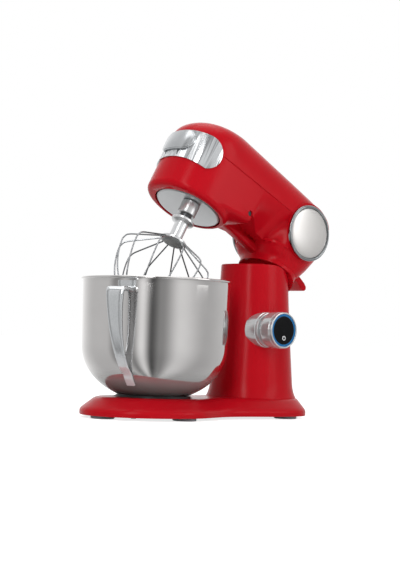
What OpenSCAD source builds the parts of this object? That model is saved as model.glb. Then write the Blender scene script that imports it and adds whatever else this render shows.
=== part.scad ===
// Tilt-head stand mixer: cast stand, tilting gear head, planetary whisk drive and twist-lock bowl.
// Millimetres, Z up, counter at Z = 0, nose towards -X, speed dial on the -Y side.
// The head and all that it carries are drawn level over the bowl, then tilted back by head_angle.

/* [Place] */
// X of the bowl's axis, so that the origin lies under the middle of the whole mixer
bowl_x = -96; // [-100:1:-70]
// How far the head stands open
head_angle = 29; // [15:1:29]

/* [Stand] */
// Half the width of the base under the bowl
lobe_half_w = 92; // [90:1:98]
// Reach of the base in front of the bowl's axis
lobe_reach = 112; // [109:1:118]
// Half the width of the base at its waist
waist_half_w = 70; // [66:1:76]
// Half the width of the base under the column
heel_half_w = 86; // [84:1:92]
// Reach of the base behind the column's axis
heel_reach = 73; // [71:1:80]
// Height of the base's upright edge
edge_h = 7; // [5:0.5:9]
// Height of the bevel above that edge
bevel_h = 19; // [17:1:21]
// Width of the bevel, seen from above
bevel_w = 24; // [20:1:28]
// Height of the rubber feet
foot_h = 4; // [3:0.5:6]
// Radius of the rubber feet
foot_r = 17; // [14:1:18]
// Distance from the bowl's axis to the column's axis
column_reach = 194; // [190:1:200]
// Half the length of the column at its top
column_top_a = 52; // [50:1:54]
// Half the width of the column at its top
column_top_b = 48; // [47:1:50]
// Half the length of the column at its foot
column_foot_a = 66; // [62:1:68]
// Half the width of the column at its foot
column_foot_b = 60; // [57:1:63]
// Height of the column's flat front top
column_h = 231; // [229:1:234]
// Wall of the castings
cast_wall = 4; // [3:0.5:5]
// Thickness of the plate that closes the base
plate_t = 2; // [1.5:0.5:3]

/* [Hinge] */
// Distance from the bowl's axis to the hinge
hinge_reach = 183; // [180:1:186]
// Height of the hinge
hinge_z = 163; // [160:1:165]
// Radius of the hinge pin
hinge_pin_r = 6; // [5:0.5:7]
// Radius of the hinge arm's eye
hinge_eye_r = 24; // [20:1:25]
// Half the width of the hinge arm
arm_half_w = 18; // [14:1:18]
// Gap each side between the arm and the column
arm_gap = 2.5; // [2:0.5:3]

/* [Head] */
// Height of the head's underside above the column's top, when the head is closed
belly_rise = 8; // [6.5:0.5:10]
// How far the nose's rim lies below that underside
rim_drop = 13; // [11:0.5:15]
// Height of the housing, from its underside to the seam
housing_h = 60; // [58:1:62]
// Height of the top cover above the seam
cover_h = 67; // [66:1:72]
// Reach of the nose in front of the bowl's axis
nose_reach = 68; // [67:1:71]
// Half the width of the head
head_half_w = 61; // [60:1:63]
// Reach of the head behind the bowl's axis
head_rear = 252; // [248:1:256]
// How far back the head's sides run straight, from the bowl's axis
flank_reach = 112; // [106:1:116]
// Half the length of the head's neck where it meets the column
neck_a = 41; // [39:1:43]
// Depth of the recess under the head, between nose and neck
recess_h = 9; // [6:0.5:10]
// Wall of the head's shells
shell_wall = 3.5; // [3:0.5:4]
// Width of the chrome nose band, half of it above the seam
band_w = 54; // [50:1:58]
// How far back the nose band runs, from the bowl's axis
band_back = -26; // [-32:1:-22]
// Thickness of the nose band
band_t = 1.6; // [1:0.1:2]
// Radius of the round side caps with their rings
cap_r = 43; // [38:1:44]
// Width of the side caps' rings
cap_ring_w = 4.5; // [3:0.5:6]

/* [Drive] */
// Module of the main gear and its pinion
main_module = 2; // [2]
// Teeth on the main gear
main_teeth = 44; // [44]
// Teeth on the pinion
pinion_teeth = 12; // [12]
// Module of the planet gear and its ring
planet_module = 1.5; // [1.5]
// Teeth on the ring gear
ring_teeth = 48; // [48]
// Teeth on the planet gear
planet_teeth = 16; // [16]
// Face width of the gears
gear_w = 8; // [6:0.5:9]
// Angle of the beater's place round the bowl's axis
planet_angle = 240; // [0:15:345]
// Distance from the bowl's axis to the motor's axis
motor_reach = 168; // [166:1:172]
// Radius of the motor
motor_r = 36; // [32:1:38]
// Height of the motor
motor_h = 56; // [50:1:60]
// Radius of the belt's large pulley
large_pulley_r = 36; // [32:1:38]
// Radius of the belt's small pulley
small_pulley_r = 9; // [8:0.5:11]
// Radius of the planetary cover
disc_r = 50.4; // [48:0.2:51]
// Radius of the carrier's shaft
carrier_shaft_r = 8; // [7:0.5:9]
// Radius of the beater shaft
beater_shaft_r = 6; // [5:0.5:6.5]

/* [Whisk] */
// Radius of the whisk at its widest
whisk_r = 69; // [62:1:71]
// Length of the whisk's cage, from its plate to its lowest wire
cage_h = 124; // [116:1:125]
// Radius of the whisk's wires
wire_r = 1.1; // [0.9:0.1:1.4]
// Loops of wire
wire_loops = 6; // [4:1:7]
// Height of the whisk's collar above its plate
collar_h = 35; // [33:0.5:37]

/* [Bowl] */
// Outer radius of the bowl's wall at its top
bowl_r = 107; // [104:0.5:107]
// Height of the bowl's rim
bowl_rim_z = 200; // [198:0.5:203]
// Wall of the bowl
bowl_wall = 1; // [0.8:0.1:1.4]
// Outer radius of the bowl's foot ring
bowl_foot_r = 45; // [43:0.5:47]
// Height of the seat that the bowl's foot stands on
seat_z = 28; // [27.5:0.5:29]
// Direction of the bowl's handle, seen from above
handle_angle = 208; // [190:1:230]
// How far the handle stands out from the bowl's axis
handle_reach = 149; // [144:1:152]
// Thickness of the handle's strap
handle_t = 3; // [2:0.5:4]
// Width of the handle at its top
handle_top_w = 26; // [22:1:30]
// Width of the handle at its foot
handle_foot_w = 13; // [10:1:16]

/* [Dial] */
// Distance from the bowl's axis to the dial's axis
dial_reach = 172; // [168:1:178]
// Height of the dial's axis
dial_z = 132; // [128:1:136]
// Largest radius of the dial
dial_r = 27; // [24:1:28]
// How far the dial's face stands out from the middle of the mixer
dial_face = 91; // [89:1:94]
// Depth of the dial
dial_depth = 30; // [26:1:31]

/* [Fits] */
// Radial clearance of a shaft in its bearing
run_gap = 0.06; // [0.03:0.01:0.08]
// Gap between parts that pass each other
pass_gap = 0.5; // [0.4:0.1:0.8]
// Gap between parts that seat on each other
seat_gap = 0.05; // [0.02:0.01:0.1]

/* [Hidden] */

round_fn = 72;
// Head levels, with the head closed
belly_z = column_h + belly_rise;
rim_z = belly_z - rim_drop;
seam_z = belly_z + housing_h;
top_z = seam_z + cover_h;
band_low = seam_z - band_w / 2;
band_high = seam_z + band_w / 2;
hinge_x = bowl_x + hinge_reach;
column_x = bowl_x + column_reach;
motor_x = bowl_x + motor_reach;
dial_x = bowl_x + dial_reach;
gear_angle = 25;
planet_offset = planet_module * (ring_teeth - planet_teeth) / 2;
pinion_offset = main_module * (main_teeth + pinion_teeth) / 2;
pinion_x = bowl_x + pinion_offset;
planet_x = bowl_x + planet_offset * cos(planet_angle);
planet_y = planet_offset * sin(planet_angle);

// Stand levels
base_low = foot_h;
edge_top = base_low + edge_h;
base_top = edge_top + bevel_h;
barrel_r = column_h - hinge_z;
barrel_gap = 1;
slot_half_w = arm_half_w + arm_gap;
foot_places = [[bowl_x - 90, 0], [bowl_x, -71], [bowl_x, 71],
  [column_x + 12, -64], [column_x + 12, 64]];
screw_places = [[bowl_x - 70, 44], [bowl_x - 70, -44], [bowl_x + 74, 40], [bowl_x + 74, -40],
  [column_x + 44, 40], [column_x + 44, -40]];
screw_r = 2;
screw_head_r = 4;
screw_head_h = 2;
boss_r = 6;

hollow_a = column_top_a - cast_wall - 4;
hollow_b = column_top_b - cast_wall - 3;
hollow_top = hinge_z - hinge_eye_r - 14;

// Drive levels, all with the head level
disc_top = rim_z + 15;
ring_low = disc_top + 3;
ring_top = ring_low + gear_w;
case_plate_low = ring_top + 1;
case_plate_top = case_plate_low + 8;
main_low = case_plate_top + 1;
main_top = main_low + gear_w;
lid_low = main_top + 2;
lid_top = lid_low + 3;
belt_low = lid_top + 1.5;
belt_w = 8;
belt_t = 2;
belt_top = belt_low + belt_w;
bracket_low = belt_top + 3;
bracket_t = 4;
can_low = bracket_low + bracket_t;
can_top = can_low + motor_h;
hub_z = (band_low + band_high) / 2 + 1;
hub_r = 12.5;
hub_wall = 2.5;
case_r = 56;
ring_gear_r = 45;

function x_at(cx, a, n, t) = cx + a * sign(cos(t)) * pow(abs(cos(t)), 2 / n);
function y_at(b, n, t) = b * sign(sin(t)) * pow(abs(sin(t)), 2 / n);

// Rings of points joined into one closed skin with flat ends, which are cut into strips
// from side to side when the rings are mirrored outlines
module skin(rings, strips = false) {
  count = len(rings[0]);
  last = len(rings) - 1;
  half = count / 2;
  polyhedron(
    points = [for (ring = rings) each ring],
    faces = concat(
      strips ? [for (i = [0 : half - 1]) end_strip(i, half)] : [[for (i = [0 : count - 1]) i]],
      [for (k = [0 : last - 1], i = [0 : count - 1])
        [k * count + i, (k + 1) * count + i,
         (k + 1) * count + (i + 1) % count, k * count + (i + 1) % count]],
      strips ? [for (i = [0 : half - 1]) let (strip = end_strip(i, half))
        [for (k = [len(strip) - 1 : -1 : 0]) last * count + strip[k]]]
      : [[for (i = [count - 1 : -1 : 0]) last * count + i]]),
    convexity = 8);
}
// Corners of one strip of a mirrored outline: its first and last strips are triangles
function end_strip(i, half) = i == 0 ? [0, 1, 2 * half - 1]
  : i == half - 1 ? [i, half, half + 1] : [i, i + 1, 2 * half - i - 1, 2 * half - i];

module level_to_tilted() {
  translate([hinge_x, 0, hinge_z]) rotate([0, head_angle, 0]) translate([-hinge_x, 0, -hinge_z])
    children();
}

module on_side(y, r, h, x, z) {
  translate([x, y, z]) rotate([90, 0, 0]) cylinder(r = r, h = h, center = true, $fn = round_fn);
}

// Gear outline with involute flanks
function involute_turn(base_r, r) = r <= base_r ? 0 :
  tan(acos(base_r / r)) * 180 / PI - acos(base_r / r);
function tooth_half(pitch_r, teeth, slack, r) =
  90 / teeth - slack / pitch_r * 90 / PI
  + involute_turn(pitch_r * cos(gear_angle), pitch_r)
  - involute_turn(pitch_r * cos(gear_angle), r);
function gear_points(teeth, pitch_r, root_r, tip_r, slack) =
  let (radii = [root_r, root_r + (tip_r - root_r) / 3, root_r + (tip_r - root_r) * 2 / 3, tip_r])
  [for (i = [0 : teeth - 1]) each concat(
    [for (r = radii) let (t = 360 * i / teeth - tooth_half(pitch_r, teeth, slack, r))
      r * [cos(t), sin(t)]],
    [for (k = [3 : -1 : 0]) let (r = radii[k],
      t = 360 * i / teeth + tooth_half(pitch_r, teeth, slack, r)) r * [cos(t), sin(t)]])];

module gear(module_size, teeth, h, slack = 0.2) {
  pitch_r = module_size * teeth / 2;
  linear_extrude(height = h)
    polygon(gear_points(teeth, pitch_r, pitch_r - 1.2 * module_size,
      pitch_r + 0.9 * module_size, slack));
}

// ---------------------------------------------------------------- stand
// Half width of the base along X, measured from the bowl's axis
function base_half_w(x) =
  x < column_reach / 2 ? lobe_half_w - (lobe_half_w - waist_half_w) * (1 - cos(360 * x / column_reach)) / 2
  : heel_half_w - (heel_half_w - waist_half_w) * (1 + cos(360 * (x / column_reach - 0.5))) / 2;
front_steps = 16;
side_steps = 14;
// Squareness of the outline's round ends: 2 is an ellipse
lobe_n = 2;
heel_n = 2.4;
// Outline of the base, drawn in by a distance: less at the heel, where the column stands at the rear edge
function heel_draw(d) = d * 0.22;
function base_side(d) = concat(
  [for (i = [0 : front_steps - 1]) let (t = 180 - 90 * i / front_steps)
    [x_at(0, lobe_reach - d, lobe_n, t), -y_at(lobe_half_w - d, lobe_n, t)]],
  [for (i = [0 : side_steps - 1]) let (x = column_reach * i / side_steps) [x, d - base_half_w(x)]],
  [for (i = [0 : front_steps]) let (t = 90 - 90 * i / front_steps)
    [x_at(column_reach, heel_reach - heel_draw(d), heel_n, t), -y_at(heel_half_w - d, heel_n, t)]]);
function mirrored(side) = concat(side,
  [for (i = [len(side) - 2 : -1 : 1]) [side[i][0], -side[i][1]]]);
function unit(v) = v / norm(v);
function base_outline(d) = mirrored(base_side(d));
function base_ring(d, z) = [for (p = base_outline(d)) [bowl_x + p[0], p[1], z]];
// The same outline with an even wall all round, for the hollow and the bottom plate
function base_plan(d) = [for (p = base_outline(d))
  [min(p[0], column_reach + heel_reach - d - 1), p[1]]];

column_points = 48;
function column_ring(a, b, z) = [for (i = [0 : column_points - 1])
  let (t = 360 * i / column_points)
  [x_at(column_x, a, 2.15, t), y_at(b, 2.15, t), z]];
// The column narrows upwards and flares softly into the base
flare_top = base_top + 26;
flare = 4;
function column_share(z) = pow((column_h - z) / (column_h - base_top), 1.25);
function column_flare(z) = z >= flare_top ? 0 : flare * pow((flare_top - z) / (flare_top - base_top), 3);
function column_level(z) = column_ring(
  column_top_a + (column_foot_a - column_top_a) * column_share(z) + column_flare(z),
  column_top_b + (column_foot_b - column_top_b) * column_share(z) + column_flare(z), z);

module column_form() {
  bottom = base_top - 6;
  skin([for (z = [bottom, base_top + 1.5, base_top + 4, base_top + 8, base_top + 14, flare_top,
    flare_top + 30, flare_top + 70, flare_top + 110, column_h - 20, column_h - 6, column_h - 1.5])
    column_level(max(z, base_top)) + [for (i = [1 : column_points]) [0, 0, z - max(z, base_top)]]]);
  skin([column_level(column_h - 1.5), [for (p = column_level(column_h))
    [column_x + (p[0] - column_x) * 0.97, p[1] * 0.97, column_h]]]);
}

module pedestal() {
  color("crimson")
  difference() {
    union() {
      skin([base_ring(0, base_low), base_ring(0, edge_top), base_ring(2, edge_top + 3),
        base_ring(bevel_w - 6, base_top - 3.5), base_ring(bevel_w, base_top - 0.5),
        base_ring(bevel_w + 7, base_top)], true);
      column_form();
    }
    // Round barrel behind the hinge, which the head's neck slides over
    translate([hinge_x, 0, 0]) difference() {
      translate([0, -80, hinge_z]) cube([90, 160, column_h]);
      on_side(0, barrel_r, 170, 0, hinge_z);
    }
    // Slot that the hinge arm swings in
    on_side(0, hinge_eye_r + 2, 2 * slot_half_w, hinge_x, hinge_z);
    translate([hinge_x, slot_half_w, hinge_z]) rotate([90, 0, 0])
      linear_extrude(height = 2 * slot_half_w) polygon([
        [-hinge_eye_r - 2, 0], [-hinge_eye_r - 2, 90], [90, 90],
        [(hinge_eye_r + 2) * cos(31) + 90 * sin(31), 90 * cos(31) - (hinge_eye_r + 2) * sin(31)],
        [(hinge_eye_r + 2) * cos(31), -(hinge_eye_r + 2) * sin(31)]]);
    translate([hinge_x, -column_top_b + cast_wall, hinge_z]) rotate([-90, 0, 0])
      cylinder(r = hinge_pin_r + seat_gap, h = 2 * column_top_b, $fn = round_fn);
    // Hollow of the column and of the base, open from below
    translate([column_x, 0, base_low - 1]) linear_extrude(height = hollow_top - base_low + 1)
      polygon([for (i = [0 : 35]) [x_at(0, hollow_a, 3, 10 * i), y_at(hollow_b, 3, 10 * i)]]);
    difference() {
      union() {
        translate([bowl_x, 0, base_low - 1]) linear_extrude(height = edge_h + 2)
          polygon(base_plan(6));
        translate([bowl_x, 0, edge_top]) linear_extrude(height = bevel_h - 9)
          polygon(base_plan(bevel_w + 1));
      }
      for (p = screw_places) translate([p[0], p[1], 0])
        cylinder(r = boss_r, h = 60, $fn = round_fn);
      translate([bowl_x, 0, 0]) cylinder(r = seat_hole_pcd / 2 + 6, h = 60, $fn = round_fn);
    }
    // Seat recess for the bowl and the holes of its screws
    translate([bowl_x, 0, seat_z - seat_plate_t]) cylinder(r = seat_r + seat_gap, h = 30, $fn = round_fn);
    for (p = seat_screw_places()) translate([p[0], p[1], base_low + plate_t + 4])
      cylinder(r = screw_r + seat_gap, h = 30, $fn = 24);
    for (p = seat_screw_places()) translate([p[0], p[1], base_low - 1])
      cylinder(r = screw_head_r + 1, h = plate_t + 6, $fn = 24);
    // Step for the bottom plate, and screw holes
    translate([bowl_x, 0, base_low - 1]) linear_extrude(height = plate_t + 1)
      polygon(base_plan(4));
    for (p = screw_places) translate([p[0], p[1], 0])
      cylinder(r = screw_r + seat_gap, h = base_low + 14, $fn = 24);
    // Dial bore and cord gland hole
    translate([dial_x, dial_pocket_y, dial_z]) rotate([90, 0, 0])
      cylinder(r = dial_neck_r + seat_gap, h = 60, $fn = round_fn);
    translate([column_x, 0, gland_z]) rotate([0, 90, 0])
      cylinder(r = gland_r + seat_gap, h = 90, $fn = 48);
    // Groove for the latch strike
    difference() {
      on_side(strike_y, barrel_r + 1, strike_w + 0.2, hinge_x, hinge_z);
      on_side(strike_y, barrel_r - strike_t, strike_w + 2, hinge_x, hinge_z);
      translate([hinge_x - 100, -100, 0]) cube([100 + 0.2 * barrel_r, 200, 400]);
      translate([hinge_x, -100, 0]) cube([100, 200, hinge_z + 0.5 * barrel_r]);
    }
  }
}

seat_plate_t = 3;
seat_r = 57;
seat_wall_r = 50;
seat_lip_r = 46;
seat_hole_pcd = 72;
foot_ring_h = 5;
lug_h = 1.8;
function seat_screw_places() = [for (t = [45 : 90 : 315])
  [bowl_x + seat_hole_pcd / 2 * cos(t), seat_hole_pcd / 2 * sin(t)]];

module base_cover() {
  color("dimgray")
  difference() {
    translate([bowl_x, 0, base_low]) linear_extrude(height = plate_t - seat_gap)
      polygon(base_plan(4.2));
    for (p = screw_places) translate([p[0], p[1], 0])
      cylinder(r = screw_r + 0.2, h = 20, $fn = 24);
    for (p = foot_places) translate([p[0], p[1], 0]) cylinder(r = foot_peg_r + seat_gap, h = 20, $fn = 32);
  }
}

foot_peg_r = 5;
module feet() {
  color("slategray")
  for (p = foot_places) translate([p[0], p[1], 0]) {
    rotate_extrude($fn = round_fn)
      polygon([[0, 0], [foot_r - 1, 0], [foot_r, 1], [foot_r, foot_h - 1.5],
        [foot_r - 0.5, foot_h], [foot_peg_r, foot_h], [foot_peg_r, foot_h + plate_t], [0, foot_h + plate_t]]);
  }
}

module screw(places, z, shank) {
  for (p = places) translate([p[0], p[1], z]) rotate_extrude($fn = 32)
    polygon([[0, -screw_head_h + 1], [1.3, -screw_head_h + 1], [1.3, -screw_head_h],
      [screw_head_r - 0.6, -screw_head_h], [screw_head_r, -screw_head_h + 0.6],
      [screw_head_r, 0], [screw_r, 0], [screw_r, shank], [0, shank]]);
}

module base_screws() {
  color("silver") screw(screw_places, base_low, 13);
}

module seat_screws() {
  color("silver") screw(seat_screw_places(), base_low + plate_t + 4,
    seat_z - base_low - plate_t - 4 - 0.8);
}

module bowl_seat() {
  lip_low = seat_z + lug_h + 0.8;
  color("gray")
  difference() {
    union() {
      translate([bowl_x, 0, seat_z - seat_plate_t]) cylinder(r = seat_r, h = seat_plate_t, $fn = round_fn);
      translate([bowl_x, 0, seat_z - 1]) difference() {
        cylinder(r = seat_wall_r + 4, h = lip_low - seat_z + 1 + 1.6, $fn = round_fn);
        translate([0, 0, -1]) cylinder(r = seat_wall_r, h = 20, $fn = round_fn);
      }
      for (t = [0 : 120 : 240]) translate([bowl_x, 0, lip_low]) rotate([0, 0, t + 15])
        rotate_extrude(angle = 40, $fn = round_fn)
        translate([seat_lip_r, 0]) square([seat_wall_r + 1 - seat_lip_r, 1.6]);
    }
    for (p = seat_screw_places()) translate([p[0], p[1], 0])
      cylinder(r = screw_r + seat_gap, h = seat_z - 0.8, $fn = 24);
  }
}

pin_low = -column_top_b + cast_wall + seat_gap;
pin_length = 2 * column_top_b - cast_wall - 1;
module hinge_pin() {
  color("silver") translate([hinge_x, pin_low, hinge_z]) rotate([-90, 0, 0]) {
    cylinder(r = hinge_pin_r, h = pin_length - 1, $fn = round_fn);
    translate([0, 0, pin_length - 1]) cylinder(r1 = hinge_pin_r, r2 = hinge_pin_r - 1, h = 1, $fn = round_fn);
  }
}

module hinge_plug() {
  color("crimson") translate([hinge_x, pin_low + pin_length, hinge_z]) rotate([-90, 0, 0])
    cylinder(r = hinge_pin_r, h = 3.4, $fn = round_fn);
}

// Steel rib in the barrel, with a notch for the latch
strike_w = 8;
strike_t = 4;
strike_y = 27;
module latch_strike() {
  color("silver")
  translate([hinge_x, strike_y + strike_w / 2, hinge_z]) rotate([90, 0, 0])
    linear_extrude(height = strike_w) polygon(concat(
      [for (t = [76 : -4 : 32]) (barrel_r - 0.3) * [cos(t), sin(t)]],
      [for (t = [32 : 4 : 76]) (barrel_r - strike_t + seat_gap) * [cos(t), sin(t)]]));
}

module control_board() {
  board_low = dial_z - 88;
  color("darkgreen") {
    translate([dial_x - 8, -hollow_b + 8, board_low]) cube([40, 1.6, 56]);
    translate([dial_x - 4, -hollow_b + 9.6, board_low + 6]) cube([16, 9, 20]);
    translate([dial_x + 16, -hollow_b + 9.6, board_low + 34]) cube([12, 14, 12]);
    for (x = [-4, 28], z = [5, 51]) translate([dial_x + x, -hollow_b + 8.1, board_low + z])
      rotate([90, 0, 0])
      cylinder(r = 2.5, h = 8.1 - hollow_b + hollow_side(dial_x + x - column_x) - 0.3, $fn = 24);
  }
}
// Half width of the column's hollow where a stand-off of radius 2.5 meets it
function hollow_side(x) = hollow_b * pow(1 - pow((abs(x) + 2.5) / hollow_a, 3), 1 / 3);

// ---------------------------------------------------------------- dial
dial_neck_r = 19.5;
dial_pocket_y = -28;
dial_tube_r = 10;
dial_back = dial_face - dial_depth;
glass_back = dial_depth - 5;
glass_r = 21;
ring_r = 24;
// Turns a profile of [radius, distance out from the middle] about the dial's axis
module dial_turned() {
  translate([dial_x, 0, dial_z]) rotate([90, 0, 0]) rotate_extrude($fn = round_fn) children();
}

module dial_encoder() {
  color("dimgray") dial_turned() polygon([[0, -dial_pocket_y], [12, -dial_pocket_y],
    [12, 10 - dial_pocket_y], [3, 10 - dial_pocket_y], [3, 16 - dial_pocket_y], [0, 16 - dial_pocket_y]]);
}

module dial_mount() {
  color("silver") dial_turned() polygon([[12 + seat_gap, -dial_pocket_y], [dial_neck_r, -dial_pocket_y],
    [dial_neck_r, dial_back - 2], [dial_neck_r - 1, dial_back - pass_gap],
    [dial_tube_r, dial_back - pass_gap], [dial_tube_r, dial_back + glass_back - seat_gap],
    [dial_tube_r - 3, dial_back + glass_back - seat_gap], [dial_tube_r - 3, 10 - dial_pocket_y + seat_gap],
    [12 + seat_gap, 10 - dial_pocket_y + seat_gap]]);
}

module speed_dial() {
  color("silver") dial_turned() translate([0, dial_back]) polygon([[dial_tube_r + run_gap, 0],
    [dial_neck_r, 0], [dial_neck_r + 2, 1], [dial_r - 2, 4], [dial_r, 9], [dial_r, dial_depth - 7],
    [dial_r - 1, dial_depth - 2], [dial_r - 1.8, dial_depth], [ring_r + pass_gap, dial_depth],
    [ring_r + pass_gap, glass_back - pass_gap], [dial_tube_r + run_gap, glass_back - pass_gap]]);
}

module display_glass() {
  color("black") dial_turned() translate([0, dial_back]) polygon([[0, glass_back], [glass_r, glass_back],
    [glass_r, dial_depth - 1], [glass_r - 1, dial_depth - 0.6], [0, dial_depth - 0.4]]);
}

module light_ring() {
  color("navy") dial_turned() translate([0, dial_back]) polygon([[glass_r + seat_gap, glass_back],
    [ring_r, glass_back], [ring_r, dial_depth - 1], [glass_r + seat_gap, dial_depth - 1]]);
}

gland_z = 62;
gland_r = 7;
gland_flange_r = 9.5;
gland_hole_r = 3.8;
function column_a(z) = column_top_a + (column_foot_a - column_top_a) * column_share(z) + column_flare(z);
gland_face = column_a(gland_z - gland_flange_r) + 0.1;
module cord_gland() {
  color("black") translate([column_x, 0, gland_z]) rotate([0, 90, 0]) rotate_extrude($fn = 48)
    polygon([[gland_hole_r, hollow_a], [gland_r, hollow_a], [gland_r, gland_face], [gland_flange_r, gland_face],
      [gland_flange_r - 1, gland_face + 1.8], [gland_hole_r, gland_face + 1.8]]);
}

// ---------------------------------------------------------------- bowl
bowl_lift = 0.3;
bowl_floor_z = seat_z + foot_ring_h + 0.5;
bowl_turn_z = 104;
bowl_depth = bowl_turn_z - bowl_floor_z;
bowl_belly_r = bowl_r - 1.5;
function bowl_curve(r, depth, floor_t) = [for (t = [0 : 5 : 60])
  [r * cos(t), bowl_turn_z - (depth + floor_t) * pow(sin(t), 0.943) / pow(sin(60), 0.943)]];
module bowl() {
  inner = [for (p = bowl_curve(bowl_belly_r - bowl_wall, bowl_depth, -bowl_wall)) p];
  outer = bowl_curve(bowl_belly_r, bowl_depth, 0);
  color("lightgray") translate([bowl_x, 0, 0]) {
    rotate_extrude($fn = 96) polygon(concat(
      [[0, bowl_floor_z], [outer[len(outer) - 1][0], bowl_floor_z]],
      [for (k = [len(outer) - 1 : -1 : 0]) outer[k]],
      [[bowl_r, bowl_rim_z - 4], [bowl_r + 1.6, bowl_rim_z - 3.6], [bowl_r + 2.8, bowl_rim_z - 2],
        [bowl_r + 2.6, bowl_rim_z - 0.6], [bowl_r + 1.2, bowl_rim_z], [bowl_r - bowl_wall, bowl_rim_z - 0.6]],
      inner,
      [[0, bowl_floor_z + bowl_wall]]));
  }
}

module bowl_foot_ring() {
  low = seat_z + bowl_lift;
  color("gray") translate([bowl_x, 0, 0]) {
    rotate_extrude($fn = 96) polygon([[bowl_foot_r - 3, low], [bowl_foot_r, low],
      [bowl_foot_r, bowl_floor_z - 0.02], [bowl_foot_r - 3, bowl_floor_z - 0.02]]);
    for (t = [0 : 120 : 240]) rotate([0, 0, t + 20]) rotate_extrude(angle = 30, $fn = 96)
      translate([bowl_foot_r - 1, low + 0.2]) square([seat_wall_r - bowl_foot_r, lug_h - 0.2]);
  }
}

handle_top_z = bowl_rim_z - 8;
handle_low_z = 66;
function handle_line() = [[bowl_r + 0.6, handle_top_z - 13], [bowl_r + 0.6, handle_top_z - 2],
  [bowl_r + 3, handle_top_z], [handle_reach - 6, handle_top_z + 1], [handle_reach - 1.5, handle_top_z - 2],
  [handle_reach, handle_top_z - 8], [handle_reach - 1, handle_top_z - 30],
  [handle_reach - 7, handle_top_z - 58], [handle_reach - 19, handle_top_z - 86],
  [handle_reach - 36, handle_top_z - 108], for (h = [15, 7, -2]) bowl_skin(handle_low_z + h, handle_t + 0.3)];
// Outer radius of the bowl at a level, and a point held off its skin
function bowl_out(z) = bowl_belly_r * cos(asin(sin(60)
  * pow(max(0, bowl_turn_z - z) / bowl_depth, 1 / 0.943)));
function bowl_skin(z, d) = let (along = unit([bowl_out(z + 1) - bowl_out(z - 1), 2]))
  [bowl_out(z), z] + d * [along[1], -along[0]];
function strap_side(points, t) = [for (i = [0 : len(points) - 1])
  let (a = points[max(i - 1, 0)], b = points[min(i + 1, len(points) - 1)], along = unit(b - a))
  points[i] + t * [along[1], -along[0]]];
function handle_w(z) = handle_foot_w + (handle_top_w - handle_foot_w)
  * pow(max(0, (z - handle_low_z)) / (handle_top_z - handle_low_z), 1.4);
module bowl_handle() {
  line = handle_line();
  back = strap_side(line, handle_t);
  rings = [for (i = [0 : len(line) - 1]) let (w = handle_w(line[i][1]) / 2)
    [[line[i][0], -w, line[i][1]], [line[i][0], w, line[i][1]],
     [back[i][0], w, back[i][1]], [back[i][0], -w, back[i][1]]]];
  color("silver") translate([bowl_x, 0, 0]) rotate([0, 0, handle_angle]) skin(rings);
}

// ---------------------------------------------------------------- head shells, drawn level
half_steps = 14;
function head_ring(z, front_cx, front_a, front_b, rear_cx, rear_a, rear_b) = concat(
  [for (i = [0 : half_steps]) let (t = 90 + 180 * i / half_steps)
    [bowl_x + x_at(front_cx, front_a, 2.2, t), y_at(front_b, 2.2, t), z]],
  [for (i = [0 : half_steps]) let (t = 270 + 180 * i / half_steps)
    [bowl_x + x_at(rear_cx, rear_a, 2.2, t), y_at(rear_b, 2.2, t), z]]);

// Lower housing: straight sides, and a rear that draws in towards the neck as it goes down
neck_reach = hinge_reach + 3;
flank_steps = 8;
function eased(u) = u <= 0 ? 0 : u >= 1 ? 1 : u * u * (3 - 2 * u);
function flank_w(x, draw) = head_half_w - draw * eased((x - flank_reach) / 50);
function housing_level(z, d = 0) = let (s = (seam_z - z) / housing_h, rear_cx = neck_reach + 4 * (1 - s),
  rear_x = head_rear - (head_rear - neck_reach - neck_a - 1) * pow(s, 1.1),
  draw = (head_half_w - column_top_b - 1) * pow(s, 2.2), rear_b = head_half_w - draw - d,
  side = [for (k = [0 : flank_steps]) let (x = flank_reach + (neck_reach - flank_reach) * k / (flank_steps + 1))
    [bowl_x + x, d - flank_w(x, draw), z]],
  rings = head_ring(z, 0, nose_reach, head_half_w - d, rear_cx, rear_x - rear_cx - d, rear_b))
  concat([for (i = [0 : half_steps]) rings[i]], side,
    [for (i = [half_steps + 1 : 2 * half_steps + 1]) rings[i]],
    [for (k = [flank_steps : -1 : 0]) [side[k][0], -side[k][1], z]]);
function nose_level(z, d, back) = head_ring(z, 0, nose_reach - d, head_half_w - d, 0,
  head_half_w - 3 + back, head_half_w - d);
rim_round = 7.5;
function fillet_out(z, top, r) = r - sqrt(max(0, r * r - pow(max(0, z - top + r), 2)));
function neck_level(z) = head_ring(z, neck_reach, neck_a + 1.6 * fillet_out(z, belly_z, 14),
  column_top_b, neck_reach, neck_a, column_top_b);

module housing_form() {
  skin([for (z = [belly_z, belly_z + 1, belly_z + 6, belly_z + 15, belly_z + 30, belly_z + 45, seam_z])
    housing_level(z, z == belly_z ? 1 : 0)]);
  skin([for (t = [0 : 18 : 90]) let (d = rim_round * (1 - sin(t)))
    nose_level(rim_z + rim_round * (1 - cos(t)), d, -d),
    nose_level(belly_z + 0.5, 0, 0)]);
  difference() {
    skin([for (z = [hinge_z + 30, belly_z - 12, belly_z - 8, belly_z - 4, belly_z - 1.5, belly_z])
      neck_level(z)]);
    on_side(0, barrel_r + barrel_gap, 160, hinge_x, hinge_z);
    translate([hinge_x - 100, -80, 0]) cube([100, 160, column_h + barrel_gap]);
  }
}
// Recess between the nose's barrel and the neck, open from below
module under_recess() {
  translate([bowl_x, 0, belly_z - 1]) linear_extrude(height = recess_h + 1) difference() {
    translate([20, 4.5 - head_half_w]) square([flank_reach - 13, 2 * head_half_w - 9]);
    polygon([for (i = [0 : 47]) [x_at(0, nose_reach, 2.2, 7.5 * i), y_at(head_half_w + 3, 2.2, 7.5 * i)]]);
  }
}

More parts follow.
